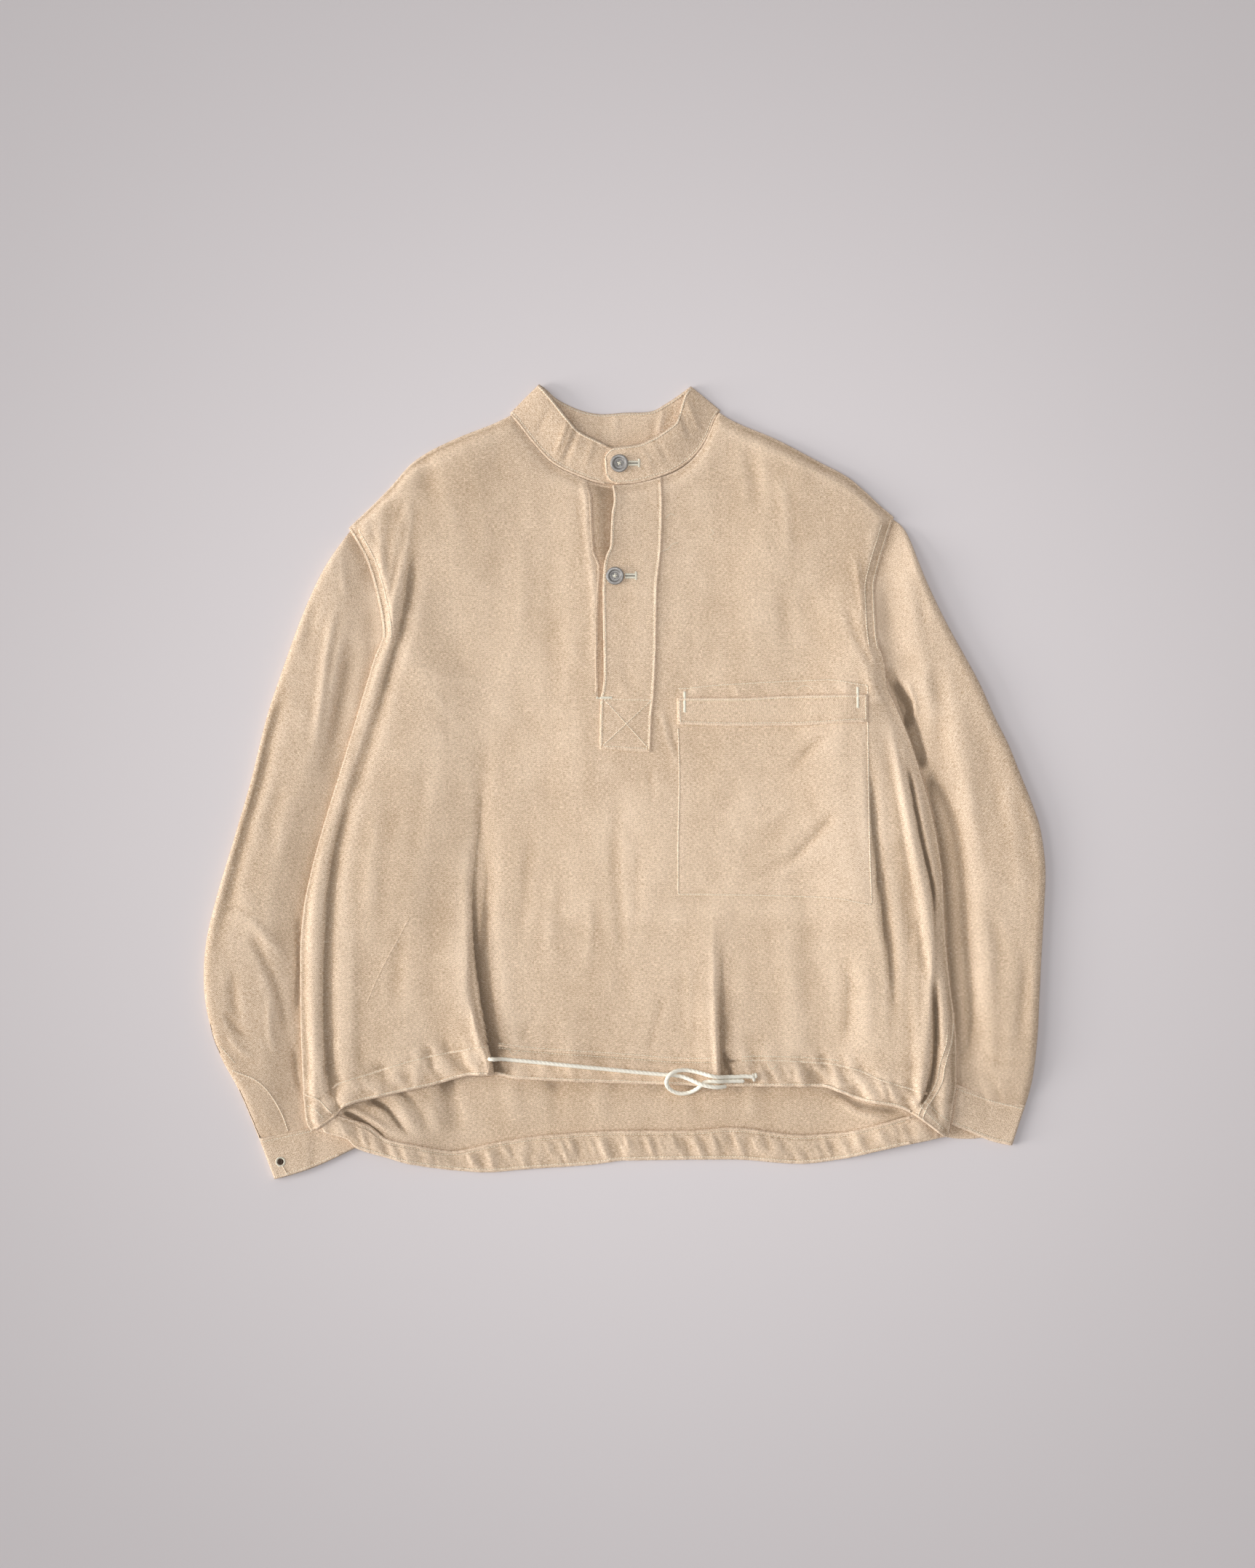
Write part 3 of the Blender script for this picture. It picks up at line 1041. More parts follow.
class SMOCK_OT_stage(Operator):
    """Lay the pale surface, set the soft lights and the camera straight above"""
    bl_idname = "smock.stage"
    bl_label = "Stage"

    def execute(self, context):
        stage = context.scene.smock_stage
        half, drop = 4.0, 0.0002
        mesh = bpy.data.meshes.new("surface")
        mesh.from_pydata([(-half, -half, 0), (half, -half, 0), (half, half, 0),
                          (-half, half, 0)], [], [(0, 1, 2, 3)])
        surface = bpy.data.objects.new("surface", mesh)
        surface.location.z = -drop
        context.scene.collection.objects.link(surface)
        mesh.materials.append(Nodes("pale_paper").finish(
            colour(stage.surface_colour), Roughness=0.95, Specular_IOR_Level=0.1))

        def lamp(name, kind, place, power, tint, **shape):
            light = bpy.data.lights.new(name, kind)
            light.energy = power
            light.color = tint
            for key, value in shape.items():
                setattr(light, key, value)
            made = bpy.data.objects.new(name, light)
            made.location = place
            made.rotation_euler = (-made.location).to_track_quat("-Z", "Y").to_euler()
            context.scene.collection.objects.link(made)

        warm, neutral, cool = (1.0, 0.985, 0.97), (0.99, 0.99, 1.0), (0.96, 0.97, 1.0)
        softness, cone = math.radians(stage.key_softness), math.radians(39)
        lamp("key", "SUN", (-2.75, 0.55, 1.95), stage.key_power, warm, angle=softness)
        lamp("side", "SUN", (-2.75, -0.5, 0.62), stage.side_power, warm, angle=softness)
        lamp("overhead", "SPOT", (0.03, 0.0, 2.6), stage.fill_power, neutral, spot_size=cone,
             spot_blend=1.0, shadow_soft_size=0.5)
        world = bpy.data.worlds.new("studio")
        world.use_nodes = True
        background = world.node_tree.nodes["Background"]
        background.inputs[0].default_value = colour(cool)
        background.inputs[1].default_value = stage.air
        context.scene.world = world
        context.scene.view_settings.view_transform = "Standard"
        context.scene.view_settings.look = "None"

        camera = bpy.data.cameras.new("camera")
        camera.sensor_fit = "VERTICAL"
        camera.sensor_height = 36.0
        camera.lens = camera.sensor_height * stage.camera_height / stage.view_height
        camera.clip_end = 50.0
        eye = bpy.data.objects.new("camera", camera)
        eye.location = (0.0027, -0.002, stage.camera_height)
        context.scene.collection.objects.link(eye)
        context.scene.camera = eye
        return {"FINISHED"}


# The two ends of the drawstring: x, y, how far it is lifted to pass over itself, and how far it
# hangs off the hem.
RIGHT_END_ROUTE = rows_of("""
    -127.4,-257.6,0,4.2 -122,-258.1,0,1.2 -114,-258.7,0,0 -95,-260.2,0,0 -75,-262,0,0
    -55,-264,0,0 -35,-266,0,0 -15,-268,0,0 5,-270,0,0 22,-271.6,0,0 36,-272.8,0,0 46,-273.4,0,0
    54,-274.8,.6,0 62,-277.6,3.0,0 70,-280.8,5.0,0 78,-283,3.8,0 87,-284,1.6,.6 95,-283.6,.6,.8""")
LEFT_END_ROUTE = rows_of("""
    121,-275,0,0 112,-274.4,.2,0 104,-274.9,.4,0 96,-275,.6,0 88,-274.8,.6,0 80,-273.4,.4,0
    72,-271.4,.3,0 64,-269.6,.6,0 56,-268.6,1.6,0 48.5,-269.2,3.2,0 42.6,-272.2,4.2,0
    39.4,-277,2.8,0 39.2,-282,1.4,.4 42,-286.4,.6,1.6 47.4,-289.6,.2,2.6 54,-290.8,0,3
    61,-289.6,0,2.8 66.8,-286.6,0,.8 70.8,-283,.4,0 75,-279.6,.5,0 81,-278.6,.2,0 88,-278.9,.6,0
    96,-279,.4,0 104,-278.9,.2,0 112,-278.8,0,0""")


def cord_line(route, radius):
    """The cord's centre line: over each route point it rests on the highest cloth nearby, and
    the heights are smoothed along it."""
    x, y, lift, drop = np.array(route).T
    reach = 3 * radius
    ground = np.max([front_top(x + dx, y + dy) for dx, dy in
                     ((0, 0), (reach, 0), (-reach, 0), (0, reach))], axis=0)
    line = smooth_line(np.column_stack([x, y, ground + 0.4 + radius + lift - drop]), 12)
    return spaced(line, 0.6)


def twisted_tube(name, line, radius, plies, pitch, material):
    """A tube carried along a line. Its section has one round lobe for each ply, and turns once
    in each pitch, so the plies wind round each other. Its ends are closed by tapering rings."""
    ends = np.array([0.05, 0.55, 0.85])
    along = np.gradient(line, axis=0)
    along /= np.linalg.norm(along, axis=1, keepdims=True)
    side = np.cross(along, [0, 0, 1.0])
    side /= np.linalg.norm(side, axis=1, keepdims=True)
    high = np.cross(side, along)
    passed = np.append(0, np.linalg.norm(np.diff(line, axis=0), axis=1).cumsum())
    angle = np.linspace(0, math.tau, 9 * plies, endpoint=False)
    lobe = np.abs(np.cos((angle[None] + math.tau * passed[:, None] / pitch) * plies / 2))
    size = np.ones(len(line))
    size[:3], size[-3:] = ends, ends[::-1]
    reach = radius * (0.72 + 0.28 * np.sqrt(lobe)) * size[:, None]
    ring = (line[:, None] + reach[..., None] * (np.cos(angle)[None, :, None] * side[:, None]
                                                + np.sin(angle)[None, :, None]
                                                * high[:, None]))
    points = np.concatenate([ring.reshape(-1, 3), [line[0], line[-1]]])
    return mesh_object(name, points, capped_tube(ring.shape[:2]), material=material)


class SMOCK_OT_drawstring(Operator):
    """Lay the drawstring's two ends over the hem, tied in a half bow"""
    bl_idname = "smock.drawstring"
    bl_label = "Drawstring"

    def execute(self, context):
        cord = context.scene.smock_cord
        radius = cord.diameter / MM / 2
        for side, route in (("right", RIGHT_END_ROUTE), ("left", LEFT_END_ROUTE)):
            line = cord_line(route, radius)
            name = f"drawstring_{side}"
            piece = twisted_tube(name, line, radius, cord.plies, cord.twist / MM,
                                 cord_material())
            own(piece, f"drawstring_{side}_end", slot="cord")
        turn = np.linspace(0, 2.6 * math.pi, 40)
        height = front_top(np.array([121.0]), np.array([-275.0]))[0] + 2.0
        wrap = np.column_stack([119.4 + 0.42 * turn, -275.4 + 3.0 * np.cos(turn),
                                height + 2.0 * np.sin(turn)])
        knot = twisted_tube("drawstring_knot", wrap, 1.35, cord.plies, 9.0, cord_material())
        own(knot, slot="cord")
        return {"FINISHED"}


def back_casing_top(x, y):
    """The back casing's upper and lower side: a soft tube across its height with small gathers
    along it, drawn in at its two rows of stitches."""
    height = BACK_CASING(x) - BACK_HEM(x)
    share = np.clip((BACK_CASING(x) - y) / np.maximum(height, 4), 0, 1)
    swell = np.sqrt(np.clip(np.sin(np.pi * np.clip(share, 0.02, 0.98)), 0, 1))
    gather = 2.6 * puckers(x, y - BACK_CASING(x), 41, 7.5) * swell
    rows = line_dip((share - 0.12) * height, 0.9, 2.4) + line_dip((share - 0.9) * height, .6)
    low = tail_top(x, y) + 0.12
    return low + 1.3 + np.maximum(1.3 * swell + gather + rows, -0.2), low


class SMOCK_OT_back(Operator):
    """Lay the back panel and the turned-up casing along its tail"""
    bl_idname = "smock.back"
    bl_label = "Back"

    def execute(self, context):
        columns = ((RIGHT_EDGE, 8), (RIGHT_GROOVE, 40), (RIGHT_FOLD, 60), (LEFT_FOLD, 36),
                   (POCKET_LEFT_END, 16), (LEFT_GROOVE, 7), (LEFT_EDGE, 0))
        rows = ((BACK_TOP, 40), (WELT_TOP, 24), (POCKET_BOTTOM, 40), (above_front_hem, 24),
                (BACK_CASING, 9), (BACK_HEM, 0))
        x, y, _, _ = lattice(columns, rows)
        top = tail_top(x, y)
        flat = np.maximum(top - CLOTH, 0.0)
        wear = np.clip(relief(top) / 1.2, -0.6, 0.6) + crease_heights(x, y, BACK_SHADES)
        back = linen_sheet("back_panel", x, y, top, flat, 0, 3.0, wear=wear)
        own(back, "back")

        columns = ((lambda y: RIGHT_EDGE(y) + 12, 10), (lambda y: RIGHT_GROOVE(y) + 4, 60),
                   (RIGHT_FOLD, 96), (LEFT_FOLD, 58), (POCKET_LEFT_END, 26),
                   (lambda y: LEFT_EDGE(y) - 9, 0))
        x, y, _, _ = lattice(columns, ((BACK_CASING, 14), (BACK_HEM, 0)))
        top, low = back_casing_top(x, y)
        casing = linen_sheet("back_casing", x, y, top, low, 0, 9.0)
        own(casing, "back_hem_casing")
        seams = seam_rolls("back_seams", ["back_casing"], (
            (along_x(BACK_CASING, -250, 266, -1.2), 2.8, .8, 1.3),
            (along_x(BACK_CASING, -250, 266, -5), 2.0, .3, .8),
            (along_x(BACK_HEM, -250, 266, 1.4), 3.0, .6, 1.2)), 0, 9.0)
        return {"FINISHED"}


def above_front_hem(x):
    """A line a little above the front's hem, where the back's tail starts to show."""
    return FRONT_HEM(x) + 14


class SMOCK_OT_front(Operator):
    """Lay the front panel, open from the neck to the placket's box"""
    bl_idname = "smock.front"
    bl_label = "Front"

    def execute(self, context):
        wall = context.scene.smock_cloth.wall / MM
        x, y, column_at, row_at = lattice(BODY_COLUMNS, FRONT_ROWS)
        keep = np.ones((x.shape[0] - 1, x.shape[1] - 1), dtype=bool)
        keep[column_at[5]:column_at[6], :row_at[2]] = False
        top = front_top(x, y)
        wear = np.clip(relief(top) / 0.9, -0.9, 0.7) + crease_heights(x, y, FRONT_SHADES)
        front = linen_sheet("front_panel", x, y, top, top - wall, keep=keep, wear=wear)
        own(front, "front")
        seams = seam_rolls("front_seams", ["front_panel"], (
            (along_x(FRONT_CASING, -272, -127), 2.6, .45, .9),
            (along_x(FRONT_CASING, -118, 87, 2), 2.4, .4, .9),
            (along_x(FRONT_CASING, 108, 282), 2.6, .45, .9),
            (along_x(FRONT_HEM, -264, -127, 1.4), 3.4, 1.2, 1.4),
            (along_x(FRONT_HEM, -121, 86, 1.3), 2.8, .9, 1.4),
            (along_x(FRONT_HEM, 92, 266, 1.4), 3.4, 1.2, 1.4),
            (along_x(FRONT_HEM, 269, 299, 1.2), 2.8, .9, 1.2),
            (along_x(FRONT_HEM, -290, -270, 1.2), 2.8, .9, 1.2),
            (((-130, -244), (-126.8, -254), (-125.6, -262), (-126.4, -271)), 3.4, 1.4, 1.4),
            (((87.6, -226), (88, -250), (88.6, -270), (89, -282)), 2.4, .9, 1.0),
            (along_y(RIGHT_EDGE, 236, 136, 1.3), 2.4, .6, .8),
            (along_y(RIGHT_EDGE, 236, 134, 8), 2.2, .35, .7),
            (along_y(LEFT_EDGE, 245, 126, -1.3), 2.4, .6, .7),
            (along_y(LEFT_EDGE, 242, 126, -9), 2.2, .35, .7),
            (along_y(SIDE_SEAM, -215, -325, -2), 2.4, .5, .8),
            (along_y(SIDE_SEAM, -225, -318, -7), 2.0, .3, .6),
            (along_x(POCKET_TOP, 50, 226), 2.0, .35, .7),
            (along_x(POCKET_BOTTOM, 50, 230), 2.0, .35, .9),
            (along_y(POCKET_LEFT_END, 90, -113), 2.0, .35, .9),
            (along_y(POCKET_RIGHT_END, 50, -104), 2.0, .35, .8),
            (((-297, -292), (-286, -295), (-276, -305), (-272, -309)), 2.2, .4, .7),
            (((-200, -126), (-214, -152), (-228, -178), (-240, -206)), 2.2, .2, .5),
            (along_y(OPENING_EDGE, 276, 84, -1.3), 2.4, .5, .7)))
        return {"FINISHED"}


# Plan edges of the sleeves and cuffs, from the shoulder down, as in the solids.
SLEEVES = {
    "right": dict(
        outside="""
            -255,236.5 -280,200 -300,157 -319,105 -334,60 -349,0 -365,-55 -380,-105 -390.5,-150
            -392.5,-190 -388,-222 -377,-256 -358,-292 -339.2,-338.6""",
        inside="-201,91 -200,40 -211,-60 -222,-160 -230,-240 -236,-299.4",
        start="-255,236.5 -236,206 -226,174.8 -221,149.8 -219,129.6 -212,109 -201,91",
        end="-339.2,-338.6 -311,-332.4 -290,-327.4 -262,-316.4 -236,-299.4"),
    "left": dict(
        outside="""
            249,246.5 263,233 280,191 300,149 329,96 345,61 358,35 370,5 380,-20 388,-45
            392.5,-80 391.5,-115 389,-160 387,-200 385,-240 380,-280 372.4,-307.6""",
        inside="222,83.5 213,40 225,-60 240,-160 254,-240 266,-271.6",
        start="249,246.5 239,222 231,200 227,175 228,150 231,127.6 236,110 234,94 222,83.5",
        end="372.4,-307.6 358,-305.6 345,-301.2 322,-293.6 309,-288.6 266,-271.6"),
}
CUFFS = {
    "right": dict(
        outside="-341.5,-332.5 -327,-371",
        inside="-239,-294 -222,-330",
        start="-341.5,-332.5 -313,-327 -292,-322 -265,-311 -239,-294",
        end="-327,-371 -313,-367.5 -290,-360 -270,-351 -250,-341.5 -222,-330"),
    "left": dict(
        outside="374,-302 362,-339",
        inside="268,-266 256,-301",
        start="374,-302 360,-300 347,-296 324,-288 311,-283 268,-266",
        end="362,-339 345,-335.5 330,-330 320,-325.5 303,-319 256,-301"),
}


def arc(text):
    """A smooth curve through a text's points, as a function of the share of its length."""
    curve = smooth_line(rows_of(text), 24)
    passed = np.append(0, np.hypot(*np.diff(curve, axis=0).T).cumsum())
    return lambda share: np.stack([np.interp(share, passed / passed[-1], curve[:, k])
                                   for k in (0, 1)], axis=-1)


def patch(edges):
    """A patch of the plane between four curves, at shares s down it and t across it: the sides
    blended across, plus the ends blended down, less the corners blended both ways."""
    sides = arc(edges["outside"]), arc(edges["inside"])
    ends = arc(edges["start"]), arc(edges["end"])

    def plan(s, t):
        s, t = np.broadcast_arrays(s, t)
        across, down = t[..., None], s[..., None]
        corner = [ends[k](np.float64(e)) for k in (0, 1) for e in (0, 1)]
        square = mix(mix(corner[0], corner[1], across), mix(corner[2], corner[3], across), down)
        return (mix(sides[0](s), sides[1](s), across) + mix(ends[0](t), ends[1](t), down)
                - square)
    return plan


def outside_body(x, y, side):
    """How far a point is outside the body's edge on one side."""
    return RIGHT_EDGE(y) - x if side == "right" else x - LEFT_EDGE(y)


def sleeve_top(x, y, s, side):
    """A sleeve's upper side: pressed where the body lies on it, swelling clear of it, level with
    the body at the armhole, with its creases and its rumple."""
    clear = outside_body(x, y, side)
    reach = (2, 36, 5.4) if side == "right" else (7, 34, 6.6)
    puff = reach[2] * ease((clear - reach[0]) / reach[1]) * ease((1.02 - s) / 0.12)
    creases = RIGHT_SLEEVE_CREASES if side == "right" else LEFT_SLEEVE_CREASES
    free = ease((clear + 4) / 8)
    loose = depth() * free * (crease_heights(x, y, creases) + 0.8 * rumple(x, y, 51))
    gather = free * (0.7 * puckers(x, y, 57, 8) * ease((s - 0.93) / 0.05)
                     + 0.5 * puckers(y, x, 59, 8) * ease((0.035 - s) / 0.03))
    top = SLEEVE_PRESSED + puff + np.maximum(loose, -1.3 - 0.8 * puff) + gather
    edge = RIGHT_EDGE(y) + 1 if side == "right" else LEFT_EDGE(y) - 1
    at_seam = front_top(edge, y) - 1.25
    below = np.minimum(at_seam, front_top(x, y) - 1.35)
    at_seam = mix(below, at_seam, ease(clear / 2))
    seam = ease((y - 118) / 20) * ease((14 - clear) / 14)
    return np.where((clear > -3) | (y > 122), mix(top, at_seam, seam), SLEEVE_PRESSED - 0.2)


def cuff_top(x, y, s, side):
    """A cuff's upper side: pressed under the body, and clear of it a little higher, with rumple,
    gathers towards the sleeve and a dip along each of its two rows of stitches."""
    clear = outside_body(x, y, side)
    free = ease((clear + 2) / 8)
    gather = 0.45 * puckers(x, y, 61, 9) * ease((0.3 - s) / 0.3)
    return SLEEVE_PRESSED + 0.3 + free * (0.9 + 0.45 * rumple(x, y, 63) + gather
                                          + line_dip((s - 0.17) * 40, 0.4, 1.6)
                                          + line_dip((s - 0.94) * 40, 0.3, 1.6))


def flat_tube(name, edges, rows, across, side, top, wall, material, round_edge=7.0):
    """A flat tube over a patch. Round each section the height is the upper side's times a
    factor: one over the top, nought underneath, and a half ellipse round each edge."""
    plan = patch(edges)
    is_cuff = rows < 40
    s = np.linspace(0, 1, rows + 1)[:, None]
    width = np.hypot(*np.moveaxis(plan(s, np.ones((1, 1))) - plan(s, np.zeros((1, 1))), -1, 0))
    near = np.array([0, 0.04, 0.16, 0.36, 0.66, 1.0]) * round_edge

    def shares(middle):
        inner = near[-1] + (width - 2 * near[-1]) * np.linspace(0, 1, middle)[None, 1:-1]
        return np.concatenate([np.broadcast_to(near, (rows + 1, 6)), inner,
                               width - near[::-1][None]], axis=1) / width

    over, below = shares(across), shares(across // 3)[:, 1:-1][:, ::-1]
    t = np.concatenate([over, below], axis=1)
    upper = np.zeros(t.shape[1], dtype=bool)
    upper[:over.shape[1]] = True
    from_edge = np.minimum(t, 1 - t) * width
    bend = np.sqrt(np.clip(1 - (1 - np.minimum(from_edge / round_edge, 1)) ** 2, 0, 1))
    factor = np.where(upper[None], 0.5 + 0.5 * bend, 0.5 - 0.5 * bend)
    flat = plan(np.broadcast_to(s, t.shape), t)
    x, y = flat[..., 0], flat[..., 1]
    height = top(x, y, np.broadcast_to(s, t.shape), side)
    under = 0.3 * ease((0.25 - s) / 0.15) * is_cuff
    outer = points_of(x, y, np.maximum(height * factor, under))
    thin = wall / width
    flat = plan(np.broadcast_to(s, t.shape), mix(thin, 1 - thin, t))
    inner = points_of(flat[..., 0], flat[..., 1],
                      wall + under + factor * np.maximum(height - 2 * wall - under, 0.1))
    length, underside_shift = 33.0 if is_cuff else 600.0, 200
    uv = np.stack([t * np.mean(width) + underside_shift * ~upper[None], s * -length + 0 * t],
                  axis=-1)
    shades = crease_heights(x, y, SLEEVE_SHADES[side])
    wear = np.where(upper[None], np.clip(relief(height) / 1.1, -0.8, 0.8) + shades, 0)
    return wall_object(name, outer, inner, material, uv, closed=True, wear=wear)


class SMOCK_OT_sleeves(Operator):
    """Lay the two sleeves, flat tubes under the body's sides"""
    bl_idname = "smock.sleeves"
    bl_label = "Sleeves"

    def execute(self, context):
        wall = context.scene.smock_cloth.wall / MM
        for side, area in (("right", 0.1405), ("left", 0.125)):
            sleeve = flat_tube(f"sleeve_{side}_tube", SLEEVES[side], 190, 62, side, sleeve_top,
                               wall, linen_material())
            own(sleeve, f"sleeve_{side}")
        return {"FINISHED"}


class SMOCK_OT_cuffs(Operator):
    """Lay the two cuffs, flat bands below the sleeves"""
    bl_idname = "smock.cuffs"
    bl_label = "Cuffs"

    def execute(self, context):
        wall = context.scene.smock_cloth.wall / MM
        plan = patch(dict(
            outside="345,-318 345,-333.6", inside="262,-292 258,-305",
            start="345,-318 320,-308 262,-292",
            end="345,-333.6 333,-332.2 322,-333 301,-331 280,-319 258,-305"))
        flat = plan(np.linspace(0, 1, 8)[:, None], np.linspace(0, 1, 40)[None])
        x, y = flat[..., 0], flat[..., 1]
        under = linen_sheet("cuff_left_underlap", x, y, 1.9 + 0.3 * rumple(x, y, 65),
                            0.4 + 0 * x, 0.5, 53.0, wear=0 * x - 0.4)
        own(under)
        lines = {
            "right": (
                (((-366, -269), (-355, -273), (-345, -277), (-336, -284), (-329, -293),
                  (-323, -303), (-318, -314), (-314, -326)), 2.2, .45, 1.0),
                (((-338, -334), (-311, -328), (-290, -323), (-264, -312)), 2.8, .5, .9),
                (((-325, -369), (-313, -365.6), (-290, -358), (-266, -347.5)), 2.8, .5, 1.1),
                (((-320, -357), (-317, -362), (-314, -367)), 2.0, .4, .8)),
            "left": (
                (((373, -305), (345, -298.6), (322, -290.6), (309, -286)), 2.8, .5, .9),
                (((361, -337.4), (345, -333.8), (330, -328.4), (318, -323.4), (304, -318)),
                 2.8, .5, 1.1))}
        for side in ("right", "left"):
            cuff = flat_tube(f"cuff_{side}_band", CUFFS[side], 16, 50, side, cuff_top, wall,
                             linen_material(), round_edge=2.2)
            own(cuff, f"cuff_{side}")
            seams = seam_rolls(f"cuff_{side}_seams", [f"cuff_{side}_band",
                                                      f"sleeve_{side}_tube"], lines[side], 1.2)
        return {"FINISHED"}


# The collar's sections round the neck, from the right front end to the rounded left front end:
# the base's x, y, z, then the upper edge's.
COLLAR = rows_of("""
    19,282,2.9,20,316,2.9 2,279.4,2.9,5,313.5,2.9 -12,278.4,3,-10,312,3
    -28,281.2,3.4,-26,319.5,3.4 -45,287.6,3.7,-38,325,3.8 -60,294.6,3.7,-46,331,4
    -72,303.2,3.5,-55,342,3.8 -88,321.4,3.2,-66,356,3.3 -99,335.8,3,-75,366.5,3
    -106.5,344,1.8,-79.4,371,1.8 -101,339.6,.6,-73,366.5,.6 -85,327.6,.6,-62,357,.6
    -60,316.6,.6,-42,347.5,.6 -30,310.8,.6,-22,343.5,.6 0,309.4,.6,0,345,.6
    30,311.4,.6,24,346,.6 55,320.8,.6,38,353,.6 75,334.2,.6,51,361.5,.6 84,343.2,.6,57,366,.6
    89,346.5,1.8,61.5,369,1.8 83,338,3,56,362,3 78.6,326.6,3.4,52,349,3.6
    70.4,312.2,4,48,336,4.2 60.4,301,4.4,39,328.5,4.6 47.6,292,4.8,28,321.5,4.9
    31.6,285.6,5,15,315.5,5 15,281,5,4,313.6,5 0,279,5,-6,312.4,5 -11,280,5,-13,310.5,5
    -17,287,5,-18.5,303.5,5""")
COLLAR_LIFT = guide("""
    0,0.5 3,1.5 6,4.0 8,3.0 9,0.8 10,0.2 14,0.3 18,0.2 19,0.8 20,3.0 22,4.5 25,3.0 29,1.6""")


def collar_points(u, v):
    """A point on the collar's middle surface at u sections round and v of the way up: between
    two section lines, bowed up in the middle of its height."""
    rows = smooth_line(COLLAR, 8)
    at = np.asarray(u) * 8
    row = np.stack([np.interp(at, np.arange(len(rows)), rows[:, k]) for k in range(6)], -1)
    base, edge = row[..., :3], row[..., 3:]
    v = np.asarray(v)[..., None]
    point = mix(base, edge, v)
    lift = COLLAR_LIFT(np.asarray(u))[..., None] * np.maximum(ease(v * 1.2), 0)
    rise = np.concatenate([np.zeros_like(lift), np.zeros_like(lift), lift], axis=-1)
    return point + rise


def collar_normals(points):
    """Unit normals of a grid of points, from the cross product of its two directions."""
    normal = np.cross(np.gradient(points, axis=0), np.gradient(points, axis=1))
    return normal / np.maximum(np.linalg.norm(normal, axis=-1, keepdims=True), 1e-9)


@functools.lru_cache(maxsize=None)
def collar_grid():
    """The collar's surface on a grid: its points, its normals, its dents from hills, creases and
    rows of stitches, and the length passed round the neck."""
    count = len(COLLAR) - 1
    u = np.linspace(0, count, count * 10 + 1)[:, None]
    v = np.linspace(0, 1, 19)[None]
    points = collar_points(u + 0 * v, v + 0 * u)
    passed = np.append(0, np.linalg.norm(np.diff(points[:, 9], axis=0), axis=1).cumsum())
    dent = (0.55 * hills(passed[:, None] + 0 * v, 35 * v + 0 * u, 18, 22, 81)
            + 0.3 * hills(passed[:, None] + 0 * v, 35 * v + 0 * u, 7, 12, 83))
    sewn = line_dip(35 * v - 2.2, 0.5, 2.2) + line_dip(35 * v - 33.2, 0.4, 2.0) + 0 * u
    behind = ease((u - 9.2) / 0.8) * ease((18.8 - u) / 0.8)
    dent = dent + 1.5 * mix(crease_heights(points[..., 0], points[..., 1], COLLAR_FRONT_CREASES),
                            crease_heights(points[..., 0], points[..., 1], COLLAR_BACK_CREASES),
                            behind)
    normals = collar_normals(points)
    return points, normals, dent + sewn, passed


def collar_middle():
    """The collar's middle surface with its dents, kept clear of what it lies on."""
    points, _, dent, _ = collar_grid()
    middle = points + np.stack([0 * dent, 0 * dent, 0.5 * dent], axis=-1)
    middle[..., 2] = np.maximum(middle[..., 2], np.minimum(points[..., 2], 0.75))
    return middle


# The collar's own creases in the plan: those of its front parts, and those of its back.
COLLAR_FRONT_CREASES = crease_table("""
    -1.9 4 6 .1 .3: -43,333 -49,318 -55,304 -60,295;
    1.3 4 4 .1 .3: -53,336 -59,320 -66,303;
    -.9 5 5 .2 .3: -68,350 -77,334 -83,320;
    .8 5 5 .2 .3: -28,322 -33,306 -38,290;
    -.7 4 5 .2 .3: -16,313 -18,299 -20,283;
    -1.4 4 5 .1 .3: 49,350 56,334 62,318;
    1.1 4 5 .1 .3: 57,356 65,338 71,322;
    -.7 5 5 .2 .3: 28,322 36,308 42,296;
    .6 5 5 .2 .3: 14,314 22,300 26,288""")
COLLAR_BACK_CREASES = crease_table("""
    -2.4 4 5 .1 .3: 45,352 41,338 36,324;
    -1.7 4 5 .1 .3: 27,340 25,326 22,314;
    1.4 4 4 .1 .3: 36,348 33,334 30,320;
    -.9 6 6 .1 .3: -22,343 -24,326 -27,312;
    .8 6 6 .1 .3: -8,344 -9,326 -10,311;
    -1.3 4 5 .1 .3: -48,345 -52,332 -58,320""")


class SMOCK_OT_collar(Operator):
    """Stand the collar's band round the neck, with its rounded end lapped over"""
    bl_idname = "smock.collar"
    bl_label = "Collar"

    def execute(self, context):
        points, normals, dent, passed = collar_grid()
        half = 0.7
        middle = collar_middle()
        outer, inner = middle + half * normals, middle - half * normals
        v = np.linspace(0, 35, points.shape[1])[None]
        uv = np.stack([passed[:, None] + 0 * v, v + 0 * passed[:, None]], axis=-1)
        wear = np.clip(dent / 2.5, -0.7, 0.7)
        collar = wall_object("collar_band", outer, inner, linen_material(), uv, wear=wear)
        own(collar, "collar")
        rows = [(points[first:last:4, row, :2], 2.2, .5, 1.1) for first, last, row in (
            (24, 92, 0), (24, 92, 17), (196, 290, 0), (196, 290, 17), (108, 176, 17))]
        seams = seam_rolls("collar_seams", ["collar_band"],
                           rows + [(points[289, 1:18:3, :2], 2.2, .5, 1.1)], 0.4)
        return {"FINISHED"}


